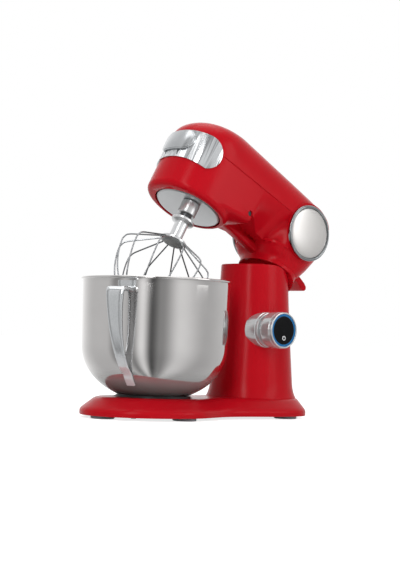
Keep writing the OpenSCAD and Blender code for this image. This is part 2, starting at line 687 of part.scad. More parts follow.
cap_z = seam_z - 0.5;
cap_x = hinge_x - 2;
module side_bosses(low, high) {
  intersection() {
    for (s = [-1, 1]) on_side(s * (head_half_w - 2.2), cap_r, 4.4, cap_x, cap_z);
    translate([cap_x - 60, -90, low]) cube([120, 180, high - low]);
  }
}

tab_x = bowl_x + 160;
hollow_floor = belly_z + recess_h + shell_wall;
tab_y = head_half_w - shell_wall - 1.5;
lever_x = hinge_x + 43;
lever_z = belly_z + 12;
lever_half_w = 17.5;
lever_pin_r = 2.5;
finger_half_w = 3;
// The finger stops just above the barrel
finger_reach = lever_z - hinge_z - sqrt(pow(barrel_r, 2) - pow(lever_x - 12.5 - hinge_x, 2)) - 2.7;
module head_housing() {
  color("crimson") level_to_tilted()
  difference() {
    union() {
      housing_form();
      side_bosses(0, seam_z);
      on_side(0, hinge_eye_r, 2 * arm_half_w, hinge_x, hinge_z);
      translate([hinge_x - hinge_eye_r, -arm_half_w, hinge_z])
        cube([2 * hinge_eye_r, 2 * arm_half_w, belly_z - hinge_z]);
    }
    // Hollow for the drive
    translate([bowl_x, 0, rim_z + 6])
      cylinder(r = head_half_w - shell_wall, h = 100, $fn = round_fn);
    translate([bowl_x, 0, hollow_floor]) linear_extrude(height = 100) polygon(housing_hollow(0));
    under_recess();
    translate([bowl_x, 0, belly_z + 29]) linear_extrude(height = 100) polygon(housing_hollow(14));
    translate([bowl_x, 0, rim_z - 1]) cylinder(r = disc_r + 1.6, h = 10, $fn = round_fn);
    translate([bowl_x - 90, 0, hub_z]) rotate([0, 90, 0])
      cylinder(r = hub_r + hub_wall + seat_gap, h = 60, $fn = round_fn);
    // Hinge bush bore
    on_side(0, bush_r + seat_gap, 2 * arm_half_w + 1, hinge_x, hinge_z);
    // Pocket of the release lever, its finger's slot and its pin's bore
    translate([lever_x - 18, -lever_half_w - 1, lever_z - 10.5])
      cube([80, 2 * lever_half_w + 2, 21.5]);
    translate([lever_x - 19, 0, lever_z - 8]) cube([16.5, strike_y + finger_half_w + 1.2, 19]);
    translate([lever_x - 19, strike_y - finger_half_w - 1, lever_z - 60])
      cube([15, 2 * finger_half_w + 2, 60]);
    on_side(0, lever_pin_r + seat_gap, 2 * lever_half_w + 14, lever_x, lever_z);
    // Recessed holes of the side screws
    on_side(0, side_shank_r + seat_gap, 2 * head_half_w, side_screw_x, side_screw_z);
    for (s = [-1, 1]) on_side(s * (head_half_w + 1 - seat_gap), side_screw_r + 0.6, 10,
      side_screw_x, side_screw_z);
  }
  // Tabs that the top cover is located by
  color("crimson") level_to_tilted() for (s = [-1, 1])
    translate([tab_x - 8, s * (tab_y - 2.5) - 2.5, seam_z - 24]) cube([16, 5, 38]);
}

function housing_hollow(wider) = let (side = [[0, head_half_w - shell_wall],
  [neck_reach - 36, column_top_b - 1 + wider * 0.5], [neck_reach + 19, column_top_b - 8 + wider * 0.5],
  [neck_reach + 28 + wider * 0.6, column_top_b - 18 + wider * 0.5], [neck_reach + 30 + wider, 14]])
  concat(side, [for (k = [len(side) - 1 : -1 : 0]) [side[k][0], -side[k][1]]]);

// Top cover: one dome that falls away round the nose, in a profile drawn profile_h high
cover_gap = 0.3;
profile_h = 81;
dome_n = 2.5;
function dome(share) = pow(max(0, 1 - pow(share, dome_n)), 1 / dome_n);
function cover_nose(h) = h <= 24 ? -nose_reach :
  h <= 71.5 ? 5 - (nose_reach + 5) * sqrt(1 - pow((h - 24) / 50, 2)) :
  5 - (nose_reach + 5) * sqrt(1 - pow(47.5 / 50, 2)) + 165 * pow((h - 71.5) / 8.5, 1.6);
function cover_rear(h) = head_rear - (h <= 31 ? 0 : 26 * pow((h - 31) / 49.5, 2.5));
function cover_level(z, w) = let (rise = top_z - w - seam_z, h = (z - seam_z) * profile_h / rise,
  b = (head_half_w - w) * dome(min((z - seam_z) / rise, 0.994)), a = nose_reach / head_half_w * b,
  nose = cover_nose(min(h, 80)) + w, rear = cover_rear(h) - w, rear_a = 62 / head_half_w * b)
  head_ring(z, nose + a, a, b, rear - rear_a, rear_a, b);
cover_shares = [0.004, 0.3, 0.4, 0.5, 0.6, 0.7, 0.79, 0.87, 0.925, 0.96, 0.985, 0.994];
module cover_form(w, low) {
  skin([for (s = cover_shares) let (z = seam_z + (top_z - w - seam_z) * s)
    s == cover_shares[0] ? [for (p = cover_level(z, w)) [p[0], p[1], low]] : cover_level(z, w)]);
}
module head_top_cover() {
  color("crimson") level_to_tilted()
  difference() {
    union() {
      cover_form(0, seam_z + cover_gap);
      side_bosses(seam_z + cover_gap, seam_z + 90);
    }
    cover_form(shell_wall, seam_z - 1);
    translate([bowl_x - 90, 0, hub_z]) rotate([0, 90, 0])
      cylinder(r = hub_r + hub_wall + seat_gap, h = 60, $fn = round_fn);
  }
}

// Screws that hold the gear case's ears to the housing's sides
side_screw_r = 3.4;
side_shank_r = 1.8;
side_screw_x = bowl_x + 64;
side_screw_z = case_plate_low + 4;
module head_screws() {
  color("dimgray") level_to_tilted() for (s = [-1, 1]) {
    on_side(s * (head_half_w - 3), side_screw_r, 2, side_screw_x, side_screw_z);
    on_side(s * (head_half_w - 11), side_shank_r, 14.5, side_screw_x, side_screw_z);
  }
}

// Plan of the nose, moved out by a distance
function nose_arc(d) = [for (i = [0 : 24]) let (t = 90 + 180 * i / 24)
  [bowl_x + x_at(0, nose_reach + d, 2.2, t), y_at(head_half_w + d, 2.2, t)]];
module nose_shell(inner, outer, low, high) {
  translate([0, 0, low]) linear_extrude(height = high - low)
    polygon(concat(nose_arc(outer), [for (k = [24 : -1 : 0]) nose_arc(inner)[k]]));
}

module nose_band() {
  band_r = (band_high - band_low) / 2;
  color("silver") level_to_tilted() difference() {
    intersection() {
      nose_shell(0.15, 0.15 + band_t, band_low, band_high);
      union() {
        on_side(0, band_r, 200, bowl_x + band_back - band_r, band_low + band_r);
        translate([bowl_x - 150, -100, band_low]) cube([150 + band_back - band_r, 200, 2 * band_r]);
      }
    }
    translate([bowl_x - 90, 0, hub_z]) rotate([0, 90, 0])
      cylinder(r = hub_r + hub_wall + seat_gap, h = 60, $fn = round_fn);
  }
}

badge_half_h = 16;
badge_half_w = 34;
module hub_cover() {
  color("silver") level_to_tilted() {
    intersection() {
      nose_shell(band_t + 0.45, band_t + 3, hub_z - 40, hub_z + 40);
      translate([bowl_x, 0, hub_z]) union() {
        for (s = [-1, 1]) translate([-100, s * (badge_half_w - badge_half_h), 0]) rotate([0, 90, 0])
          cylinder(r = badge_half_h, h = 100, $fn = round_fn);
        translate([-100, badge_half_h - badge_half_w, -badge_half_h])
          cube([100, 2 * (badge_half_w - badge_half_h), 2 * badge_half_h]);
      }
    }
    translate([bowl_x - nose_reach - band_t - 1, 0, hub_z]) rotate([0, 90, 0])
      cylinder(r = hub_r - 1, h = band_t + 1.2, $fn = round_fn);
  }
}

module hub_socket() {
  color("dimgray") level_to_tilted() translate([bowl_x - nose_reach, 0, hub_z]) rotate([0, 90, 0])
    rotate_extrude($fn = round_fn) polygon([[hub_r, 0.4], [hub_r + hub_wall, 0.4],
      [hub_r + hub_wall, hub_depth + 3], [10, hub_depth + 3], [10, hub_depth + 15],
      [hub_shaft_r + run_gap, hub_depth + 15], [hub_shaft_r + run_gap, hub_depth], [hub_r, hub_depth]]);
}

hub_depth = 23;
hub_shaft_r = 6;
hub_square = 7;
module hub_drive() {
  color("silver") level_to_tilted() translate([bowl_x - nose_reach, 0, hub_z]) rotate([0, 90, 0])
    difference() {
      union() {
        translate([0, 0, hub_depth + 0.2]) cylinder(r = hub_shaft_r, h = 21, $fn = 48);
        translate([0, 0, hub_depth + 15.5]) cylinder(r = 9, h = 5.5, $fn = 48);
      }
      translate([-hub_square / 2, -hub_square / 2, hub_depth]) cube([hub_square, hub_square, 13]);
    }
}

module cap_turned(s) {
  translate([cap_x, 0, cap_z]) rotate([s * -90, 0, 0]) rotate_extrude($fn = round_fn) children();
}
module cap_ring(s) {
  color("silver") level_to_tilted() cap_turned(s) translate([0, head_half_w + seat_gap]) polygon([
    [cap_r - cap_ring_w, 0], [cap_r, 0], [cap_r, 2], [cap_r - 1.2, 4], [cap_r - cap_ring_w + 1, 4.6],
    [cap_r - cap_ring_w, 3.6]]);
}
module side_cap(s) {
  r = cap_r - cap_ring_w - 0.3;
  color("gainsboro") level_to_tilted() cap_turned(s) translate([0, head_half_w + seat_gap])
    polygon(concat([[0, 0], [r, 0]],
      [for (k = [0 : 6]) [r * cos(15 * k), 2.4 + 3.4 * sin(15 * k)]]));
}
module side_cap_left() { side_cap(-1); }
module side_cap_right() { side_cap(1); }
module cap_ring_left() { cap_ring(-1); }
module cap_ring_right() { cap_ring(1); }

bush_r = 9;
module hinge_bushes() {
  color("peru") level_to_tilted() for (s = [-1, 1])
    translate([hinge_x, 0, hinge_z]) rotate([s * -90, 0, 0]) rotate_extrude($fn = round_fn)
      polygon([[hinge_pin_r + run_gap, 6], [bush_r, 6], [bush_r, arm_half_w + seat_gap],
        [bush_r + 4, arm_half_w + seat_gap], [bush_r + 4, slot_half_w - 0.3],
        [hinge_pin_r + run_gap, slot_half_w - 0.3]]);
}

// ---------------------------------------------------------------- drive, drawn level
module upright(x, y = 0) { translate([x, y, 0]) children(); }

module gear_case() {
  color("silver") level_to_tilted()
  difference() {
    union() {
      upright(bowl_x) rotate_extrude($fn = round_fn) polygon([[disc_r + 2.1, rim_z + 6],
        [case_r, rim_z + 6], [case_r, case_plate_top], [0, case_plate_top], [0, case_plate_low],
        [ring_gear_r + seat_gap, case_plate_low], [ring_gear_r + seat_gap, ring_low],
        [disc_r + 2.1, ring_low - 1]]);
      upright(pinion_x) translate([0, 0, case_plate_low])
        cylinder(r = 13, h = case_plate_top - case_plate_low, $fn = round_fn);
      translate([side_screw_x - 34, 9 - head_half_w, case_plate_low])
        cube([42, 2 * head_half_w - 18, case_plate_top - case_plate_low]);
    }
    upright(bowl_x) cylinder(r = carrier_shaft_r + run_gap, h = 400, $fn = round_fn);
    upright(pinion_x) cylinder(r = pinion_shaft_r + run_gap, h = 400, $fn = round_fn);
    for (s = [-1, 1]) on_side(s * (head_half_w - 12), side_shank_r + seat_gap, 20, side_screw_x, side_screw_z);
  }
}

pillar_r = 3;
module gear_case_lid() {
  color("silver") level_to_tilted()
  difference() {
    union() {
      upright(bowl_x) translate([0, 0, lid_low]) cylinder(r = case_r, h = lid_top - lid_low, $fn = round_fn);
      upright(pinion_x) translate([0, 0, lid_low]) cylinder(r = 13, h = lid_top - lid_low, $fn = round_fn);
      for (t = [60 : 60 : 300]) upright(bowl_x) rotate([0, 0, t])
        translate([case_r - pillar_r - 1, 0, case_plate_top + seat_gap])
        cylinder(r = pillar_r, h = lid_low - case_plate_top, $fn = 32);
    }
    upright(bowl_x) cylinder(r = carrier_shaft_r + run_gap, h = 400, $fn = round_fn);
    upright(pinion_x) cylinder(r = pinion_shaft_r + run_gap, h = 400, $fn = round_fn);
  }
}

module ring_gear() {
  ring_pitch_r = planet_module * ring_teeth / 2;
  color("dimgray") level_to_tilted() upright(bowl_x) translate([0, 0, ring_low])
  difference() {
    cylinder(r = ring_gear_r, h = ring_top - ring_low + 1 - seat_gap, $fn = round_fn);
    translate([0, 0, -1]) rotate([0, 0, planet_angle]) linear_extrude(height = gear_w + 4)
      polygon(gear_points(ring_teeth, ring_pitch_r, ring_pitch_r - 0.8 * planet_module,
        ring_pitch_r + 1.2 * planet_module, -0.2));
  }
}

module planet_gear() {
  color("silver") level_to_tilted() upright(planet_x, planet_y) translate([0, 0, ring_low])
  difference() {
    rotate([0, 0, planet_angle]) gear(planet_module, planet_teeth, gear_w);
    translate([0, 0, -1]) cylinder(r = beater_shaft_r + seat_gap, h = 20, $fn = round_fn);
  }
}

module main_gear() {
  color("silver") level_to_tilted() upright(bowl_x) translate([0, 0, main_low])
  difference() {
    gear(main_module, main_teeth, gear_w);
    translate([0, 0, -1]) cylinder(r = carrier_shaft_r + seat_gap, h = 20, $fn = round_fn);
    for (t = [0 : 60 : 300]) rotate([0, 0, t]) translate([25, 0, -1]) cylinder(r = 8, h = 20, $fn = 48);
  }
}

pinion_shaft_r = 5;
module pinion_shaft() {
  color("silver") level_to_tilted() upright(pinion_x) {
    translate([0, 0, case_plate_low + 0.5])
      cylinder(r = pinion_shaft_r, h = belt_top + 2 - case_plate_low, $fn = round_fn);
    translate([0, 0, main_low - 0.4]) rotate([0, 0, 180 / pinion_teeth])
      gear(main_module, pinion_teeth, gear_w + 0.8);
  }
}

module drive_pulley() {
  color("dimgray") level_to_tilted() upright(pinion_x) difference() {
    translate([0, 0, belt_low]) cylinder(r = large_pulley_r, h = belt_w, $fn = 96);
    translate([0, 0, belt_low - 1]) cylinder(r = pinion_shaft_r + seat_gap, h = 20, $fn = round_fn);
    for (t = [0 : 60 : 300]) rotate([0, 0, t + 30]) translate([21, 0, 0]) cylinder(r = 7, h = 400, $fn = 48);
    translate([0, 0, belt_low + belt_w - 2]) difference() {
      cylinder(r = large_pulley_r - 4, h = 5, $fn = 96);
      cylinder(r = 11, h = 5, $fn = 48);
    }
  }
}

// Outline round two pulleys, from both arcs and the straight runs between them
function belt_outline(large, small, reach) = let (lean = acos((large - small) / reach)) concat(
  [for (i = [0 : 24]) let (t = lean + (360 - 2 * lean) * i / 24) large * [cos(t), sin(t)]],
  [for (i = [0 : 12]) let (t = -lean + 2 * lean * i / 12) [reach, 0] + small * [cos(t), sin(t)]]);
module drive_belt() {
  reach = motor_x - pinion_x;
  color("black") level_to_tilted() upright(pinion_x) translate([0, 0, belt_low + 0.5]) difference() {
    linear_extrude(height = belt_w - 1)
      polygon(belt_outline(large_pulley_r + 0.3 + belt_t, small_pulley_r + 0.3 + belt_t, reach));
    translate([0, 0, -1]) linear_extrude(height = belt_w + 2)
      polygon(belt_outline(large_pulley_r + 0.3, small_pulley_r + 0.3, reach));
  }
}

motor_shaft_r = 4;
module motor_pulley() {
  color("silver") level_to_tilted() upright(motor_x) difference() {
    translate([0, 0, belt_low]) cylinder(r = small_pulley_r, h = belt_w, $fn = round_fn);
    translate([0, 0, belt_low - 1]) cylinder(r = motor_shaft_r + seat_gap, h = 20, $fn = 48);
  }
}

post_r = 4;
bracket_front = motor_reach - 24;
function post_places() = [for (s = [-1, 1]) each [[bowl_x + bracket_front + 8, s * (column_top_b - 10)],
  [bowl_x + neck_reach + 17, s * (column_top_b - 16)]]];
function bracket_side() = [[bracket_front, column_top_b - 4], [neck_reach + 2, column_top_b - 4],
  [neck_reach + 24, column_top_b - 14]];
function reversed(points) = [for (k = [len(points) - 1 : -1 : 0]) points[k]];
module motor_bracket() {
  color("silver") level_to_tilted() difference() {
    union() {
      translate([bowl_x, 0, bracket_low]) linear_extrude(height = bracket_t) polygon([
        for (s = [1, -1]) each [for (p = s > 0 ? bracket_side() : reversed(bracket_side())) [p[0], s * p[1]]]]);
      for (p = post_places()) translate([p[0], p[1], hollow_floor])
        cylinder(r = post_r, h = bracket_low + 1 - hollow_floor, $fn = 32);
    }
    upright(motor_x) cylinder(r = 12, h = 400, $fn = round_fn);
  }
}

can_wall = 2.5;
magnet_r = 24;
module motor_can() {
  color("dimgray") level_to_tilted() upright(motor_x) {
    difference() {
      union() {
        translate([0, 0, can_low]) cylinder(r = motor_r, h = motor_h, $fn = round_fn);
        translate([0, 0, can_low - bracket_t - 1]) cylinder(r = 12 - seat_gap, h = 8, $fn = round_fn);
      }
      translate([0, 0, can_low + 4]) cylinder(r = magnet_r, h = motor_h - 8, $fn = round_fn);
      for (s = [-1, 1]) intersection() {
        translate([0, 0, can_low + 4]) cylinder(r = motor_r - can_wall, h = motor_h - 8, $fn = round_fn);
        translate([-50, s * 30 - 15, 0]) cube([100, 30, 400]);
      }
      cylinder(r = motor_shaft_r + run_gap, h = 400, $fn = round_fn);
      for (t = [30 : 60 : 330]) rotate([0, 0, t]) translate([14, 0, can_top - 10])
        cylinder(r = 4, h = 30, $fn = 32);
    }
  }
}

module motor_rotor() {
  color("peru") level_to_tilted() upright(motor_x) {
    translate([0, 0, belt_low]) cylinder(r = motor_shaft_r, h = can_top + 10 - belt_low, $fn = round_fn);
    difference() {
      translate([0, 0, can_low + 10]) cylinder(r = magnet_r - 1, h = motor_h - 24, $fn = round_fn);
      for (t = [0 : 60 : 300]) rotate([0, 0, t]) translate([magnet_r - 5, -1.5, 0]) cube([10, 3, 400]);
    }
  }
}

module motor_fan() {
  color("gray") level_to_tilted() upright(motor_x) difference() {
    union() {
      translate([0, 0, can_top + 1.5]) cylinder(r = 29, h = 1.2, $fn = round_fn);
      translate([0, 0, can_top + 1.5]) cylinder(r = 7, h = 7, $fn = round_fn);
      for (t = [0 : 40 : 320]) rotate([0, 0, t]) translate([6, -0.6, can_top + 2]) rotate([0, 0, 20])
        cube([21, 1.2, 6]);
    }
    cylinder(r = motor_shaft_r + seat_gap, h = 400, $fn = round_fn);
  }
}

// Planet carrier: the round cover that shows under the nose
cover_floor = 3;
hub_boss_r = 11;
beater_boss_r = 12.5;
module planetary_cover() {
  color("silver") level_to_tilted() difference() {
    union() {
      upright(bowl_x) rotate_extrude($fn = 96) polygon([[0, rim_z], [disc_r - 3, rim_z],
        [disc_r - 1, rim_z + 1], [disc_r, rim_z + 3], [disc_r, disc_top - 3], [disc_r - 2, disc_top - 3],
        [disc_r - 2.5, rim_z + cover_floor], [0, rim_z + cover_floor]]);
      upright(bowl_x) translate([0, 0, rim_z]) cylinder(r = hub_boss_r, h = disc_top - rim_z - 3, $fn = round_fn);
      upright(planet_x, planet_y) translate([0, 0, rim_z])
        cylinder(r = beater_boss_r, h = ring_low - 0.4 - rim_z, $fn = round_fn);
    }
    upright(bowl_x) translate([0, 0, rim_z + cover_floor])
      cylinder(r = carrier_shaft_r + seat_gap, h = 60, $fn = round_fn);
    upright(planet_x, planet_y) translate([0, 0, rim_z - 1])
      cylinder(r = beater_shaft_r + run_gap, h = 60, $fn = round_fn);
  }
}

module carrier_shaft() {
  color("silver") level_to_tilted() upright(bowl_x) translate([0, 0, rim_z + cover_floor])
    cylinder(r = carrier_shaft_r, h = lid_top + 3 - rim_z - cover_floor, $fn = round_fn);
}

sleeve_r = 13.5;
sleeve_low = rim_z - 21;
whisk_top = sleeve_low - 8;
whisk_plate_z = whisk_top - collar_h;
whisk_low = whisk_plate_z - cage_h;
shaft_end_z = whisk_top - 20;
cross_pin_z = whisk_top - 11;
cross_pin_r = 1.5;
cross_pin_half = 8.5;
module beater_shaft() {
  color("silver") level_to_tilted() upright(planet_x, planet_y) difference() {
    union() {
      translate([0, 0, shaft_end_z]) cylinder(r = beater_shaft_r, h = ring_top + 0.4 - shaft_end_z, $fn = round_fn);
      rotate_extrude($fn = round_fn) polygon([[0, sleeve_low], [sleeve_r - 1, sleeve_low],
        [sleeve_r, sleeve_low + 1], [sleeve_r, rim_z - 1.5], [sleeve_r - 1, rim_z - pass_gap],
        [0, rim_z - pass_gap]]);
    }
    translate([0, 0, cross_pin_z]) rotate([90, 0, 0])
      cylinder(r = cross_pin_r + seat_gap, h = 40, center = true, $fn = 32);
  }
}

module shaft_pin() {
  color("silver") level_to_tilted() upright(planet_x, planet_y) translate([0, 0, cross_pin_z])
    rotate([90, 0, 0]) cylinder(r = cross_pin_r, h = 2 * cross_pin_half, center = true, $fn = 32);
}

// Tube swept along a list of points, with the same number of sides all along
function across(v) = abs(v[2]) > 0.9 * norm(v) ? [1, 0, 0] : [0, 0, 1];
function tube_rings(path, r, sides) = [for (i = [0 : len(path) - 1])
  let (d = unit(path[min(i + 1, len(path) - 1)] - path[max(i - 1, 0)]), u = unit(cross(d, [0, 1, 0.001])),
    v = cross(d, u))
  [for (k = [0 : sides - 1]) path[i] + r * (u * cos(360 * k / sides) + v * sin(360 * k / sides))]];

spring_turns = 3;
spring_wire_r = 0.9;
spring_r = 8.4;
module shaft_spring() {
  low = whisk_top + spring_wire_r + 0.3;
  high = sleeve_low - spring_wire_r - 0.3;
  steps = 14 * spring_turns;
  rings = [for (i = [0 : steps]) let (t = 360 * spring_turns * i / steps)
    [for (k = [0 : 5]) let (r = spring_r + spring_wire_r * cos(-60 * k))
      [r * cos(t), r * sin(t), low + (high - low) * i / steps + spring_wire_r * sin(-60 * k)]]];
  color("dimgray") level_to_tilted() upright(planet_x, planet_y) skin(rings);
}

// ---------------------------------------------------------------- whisk, drawn level
push_up = 5;
stem_r = 10;
collar_flange_r = 17;
whisk_foot = whisk_plate_z - 5;
module whisk_collar() {
  slot_low = cross_pin_z - cross_pin_r - push_up - 0.5;
  slot_r = cross_pin_half + 0.6;
  color("silver") level_to_tilted() upright(planet_x, planet_y) difference() {
    rotate_extrude($fn = round_fn) polygon([[0, whisk_foot], [stem_r, whisk_foot], [stem_r, whisk_top - 7],
      [collar_flange_r - 1, whisk_top - 5], [collar_flange_r, whisk_top - 4],
      [collar_flange_r, whisk_top - 1], [collar_flange_r - 1, whisk_top], [0, whisk_top]]);
    translate([0, 0, shaft_end_z - push_up - 4])
      cylinder(r = beater_shaft_r + run_gap, h = 60, $fn = round_fn);
    for (t = [90, 270]) rotate([0, 0, t]) {
      // Notch that the cross pin rests in, the turn, and the way in from the top
      translate([0, -cross_pin_r - 0.4, slot_low])
        cube([slot_r, 2 * cross_pin_r + 0.8, cross_pin_z + cross_pin_r + 0.4 - slot_low]);
      rotate([0, 0, -75]) translate([0, -cross_pin_r - 0.4, slot_low])
        cube([slot_r, 2 * cross_pin_r + 0.8, 60]);
      rotate([0, 0, -75]) translate([0, 0, slot_low - 0.2]) rotate_extrude(angle = 75, $fn = round_fn)
        square([slot_r + 0.4, 2 * cross_pin_r + 1.1]);
    }
  }
}

whisk_plate_r = 20;
module whisk_plate() {
  color("silver") level_to_tilted() upright(planet_x, planet_y) rotate_extrude($fn = round_fn)
    polygon([[stem_r + seat_gap, whisk_foot], [whisk_plate_r - 5, whisk_foot],
      [whisk_plate_r, whisk_plate_z - 3.5], [whisk_plate_r, whisk_plate_z - 1],
      [whisk_plate_r - 1, whisk_plate_z], [stem_r + seat_gap, whisk_plate_z]]);
}

knee_drop = 34;
wire_stagger = 2.6;
function wire_side(low) = let (knee_z = whisk_plate_z - knee_drop) concat(
  [[whisk_plate_r - 3, whisk_plate_z - 2.2], [whisk_r * 0.55, knee_z + 14.5], [whisk_r - 8, knee_z + 5.5],
    [whisk_r - 3, knee_z + 3], [whisk_r - 0.8, knee_z - 0.5]],
  [for (k = [0 : 6]) let (t = 84 * k / 6)
    [whisk_r * pow(cos(t), 0.75), knee_z - 6 - (knee_z - 6 - low) * pow(sin(t), 1.25) / pow(sin(84), 1.25)]]);
module whisk_wires() {
  color("silver") level_to_tilted() upright(planet_x, planet_y)
    for (i = [0 : wire_loops - 1]) rotate([0, 0, 180 * i / wire_loops + 10]) {
      side = wire_side(whisk_low + wire_stagger * i);
      path = concat([for (p = side) [p[0], 0, p[1]]],
        [for (k = [len(side) - 1 : -1 : 0]) [-side[k][0], 0, side[k][1]]]);
      skin(tube_rings(path, wire_r, 6));
    }
}

// ---------------------------------------------------------------- release lever, drawn level
module release_lever() {
  color("crimson") level_to_tilted() translate([lever_x, 0, lever_z]) difference() {
    union() {
      translate([0, lever_half_w, 0]) rotate([90, 0, 0]) linear_extrude(height = 2 * lever_half_w)
        polygon([[-9, 3], [2, 6], [12, 5], [26, 2], [32, -1], [34, -5], [32, -9], [25, -9.5],
          [12, -5], [2, -6], [-9, -3]]);
      translate([-13, -lever_half_w, -3]) cube([7.5, lever_half_w + strike_y + finger_half_w, 6]);
      translate([-12.5, strike_y - finger_half_w, -finger_reach])
        cube([6, 2 * finger_half_w, finger_reach + 0.5]);
    }
    rotate([90, 0, 0]) cylinder(r = lever_pin_r + run_gap, h = 100, center = true, $fn = round_fn);
    translate([0, -lever_half_w + 4, 0]) rotate([90, 0, 0]) cylinder(r = 6.2, h = 8, center = true, $fn = 48);
  }
}

module lever_pin() {
  color("silver") level_to_tilted()
    on_side(0, lever_pin_r, 2 * lever_half_w + 13, lever_x, lever_z);
}

lever_wire_r = 0.6;
module lever_spring() {
  turns = 4;
  steps = 12 * turns;
  rings = [for (i = [0 : steps]) let (t = 360 * turns * i / steps)
    [for (k = [0 : 5]) let (r = 4.2 + lever_wire_r * cos(60 * k))
      [r * cos(t), lever_wire_r * sin(60 * k) - lever_half_w + 1.4 + 5.4 * i / steps, r * sin(t)]]];
  color("silver") level_to_tilted() translate([lever_x, 0, lever_z]) skin(rings);
}

pedestal();
base_cover();
feet();
base_screws();
bowl_seat();
seat_screws();
hinge_pin();
hinge_plug();
latch_strike();
control_board();
dial_encoder();
dial_mount();
display_glass();
light_ring();
cord_gland();
speed_dial();
bowl();
bowl_foot_ring();
bowl_handle();
head_housing();
head_top_cover();
nose_band();
side_cap_left();
side_cap_right();
cap_ring_left();
cap_ring_right();
head_screws();
hinge_bushes();
gear_case();
gear_case_lid();
ring_gear();
drive_belt();
motor_can();
motor_bracket();
hub_socket();
hub_drive();
hub_cover();
motor_rotor();
motor_fan();
motor_pulley();
drive_pulley();
pinion_shaft();
main_gear();
carrier_shaft();
planetary_cover();
planet_gear();
beater_shaft();
shaft_pin();
shaft_spring();
whisk_collar();
whisk_plate();
whisk_wires();
release_lever();
lever_pin();
lever_spring();
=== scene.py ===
import math

import bmesh
import bpy
from mathutils import Matrix, Vector


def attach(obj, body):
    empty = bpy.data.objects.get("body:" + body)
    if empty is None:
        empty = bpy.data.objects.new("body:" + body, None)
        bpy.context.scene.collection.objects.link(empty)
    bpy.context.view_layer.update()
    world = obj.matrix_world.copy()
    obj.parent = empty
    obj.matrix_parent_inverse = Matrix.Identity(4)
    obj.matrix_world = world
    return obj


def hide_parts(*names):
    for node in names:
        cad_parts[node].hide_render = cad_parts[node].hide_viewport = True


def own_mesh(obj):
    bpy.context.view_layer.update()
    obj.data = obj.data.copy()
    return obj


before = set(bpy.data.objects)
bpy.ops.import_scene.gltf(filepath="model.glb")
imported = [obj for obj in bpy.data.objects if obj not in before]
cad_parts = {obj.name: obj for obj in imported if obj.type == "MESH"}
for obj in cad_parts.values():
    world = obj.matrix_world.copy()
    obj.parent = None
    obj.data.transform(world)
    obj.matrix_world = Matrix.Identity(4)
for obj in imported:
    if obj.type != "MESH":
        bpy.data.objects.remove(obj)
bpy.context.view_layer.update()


# ---------------------------------------------------------------- stand casting
# The stand is one hollow aluminium casting: a low base with a sloping edge and a column that the
# head hinges on. It is enamelled in glossy red and carries everything else.
MM = 0.001
BOWL_X = -96.0
HINGE_X, HINGE_Z = 87.0, 163.0
COLUMN_X, COLUMN_H = 98.0, 231.0
BASE_TOP = 30.0
BARREL_R = COLUMN_H - HINGE_Z
FLARE_TOP = BASE_TOP + 26.0
# The base's plan, from the bowl's axis: a round bow, a waist and a squarer stern
BOW_R, BOW_HALF_W = 112.0, 92.0
BASE_WAIST_HALF_W = 70.0
STERN_X, STERN_R, STERN_HALF_W = 194.0, 73.0, 86.0
DIAL_X, DIAL_Z = 76.0, 132.0
# The slot that the head's neck swings in, and how far its rear wall leans
SLOT_R, SLOT_LEAN, SLOT_HALF_W = 26.0, math.radians(31), 20.5
RED, RED_DEEP = "#C6101F", "#BA0C1A"


def linear(code):
    """Linear colour of an sRGB hex code."""
    parts = [int(code[i:i + 2], 16) / 255 for i in (1, 3, 5)]
    return [c / 12.92 if c <= 0.04045 else ((c + 0.055) / 1.055) ** 2.4 for c in parts] + [1.0]


def add_node(tree, kind, inputs=None, **settings):
    """Adds a node with its settings, and links or sets its inputs."""
    node = tree.nodes.new(kind)
    for name, value in settings.items():
        setattr(node, name, value)
    for name, value in (inputs or {}).items():
        if isinstance(value, bpy.types.NodeSocket):
            tree.links.new(value, node.inputs[name])
        else:
            node.inputs[name].default_value = value
    return node


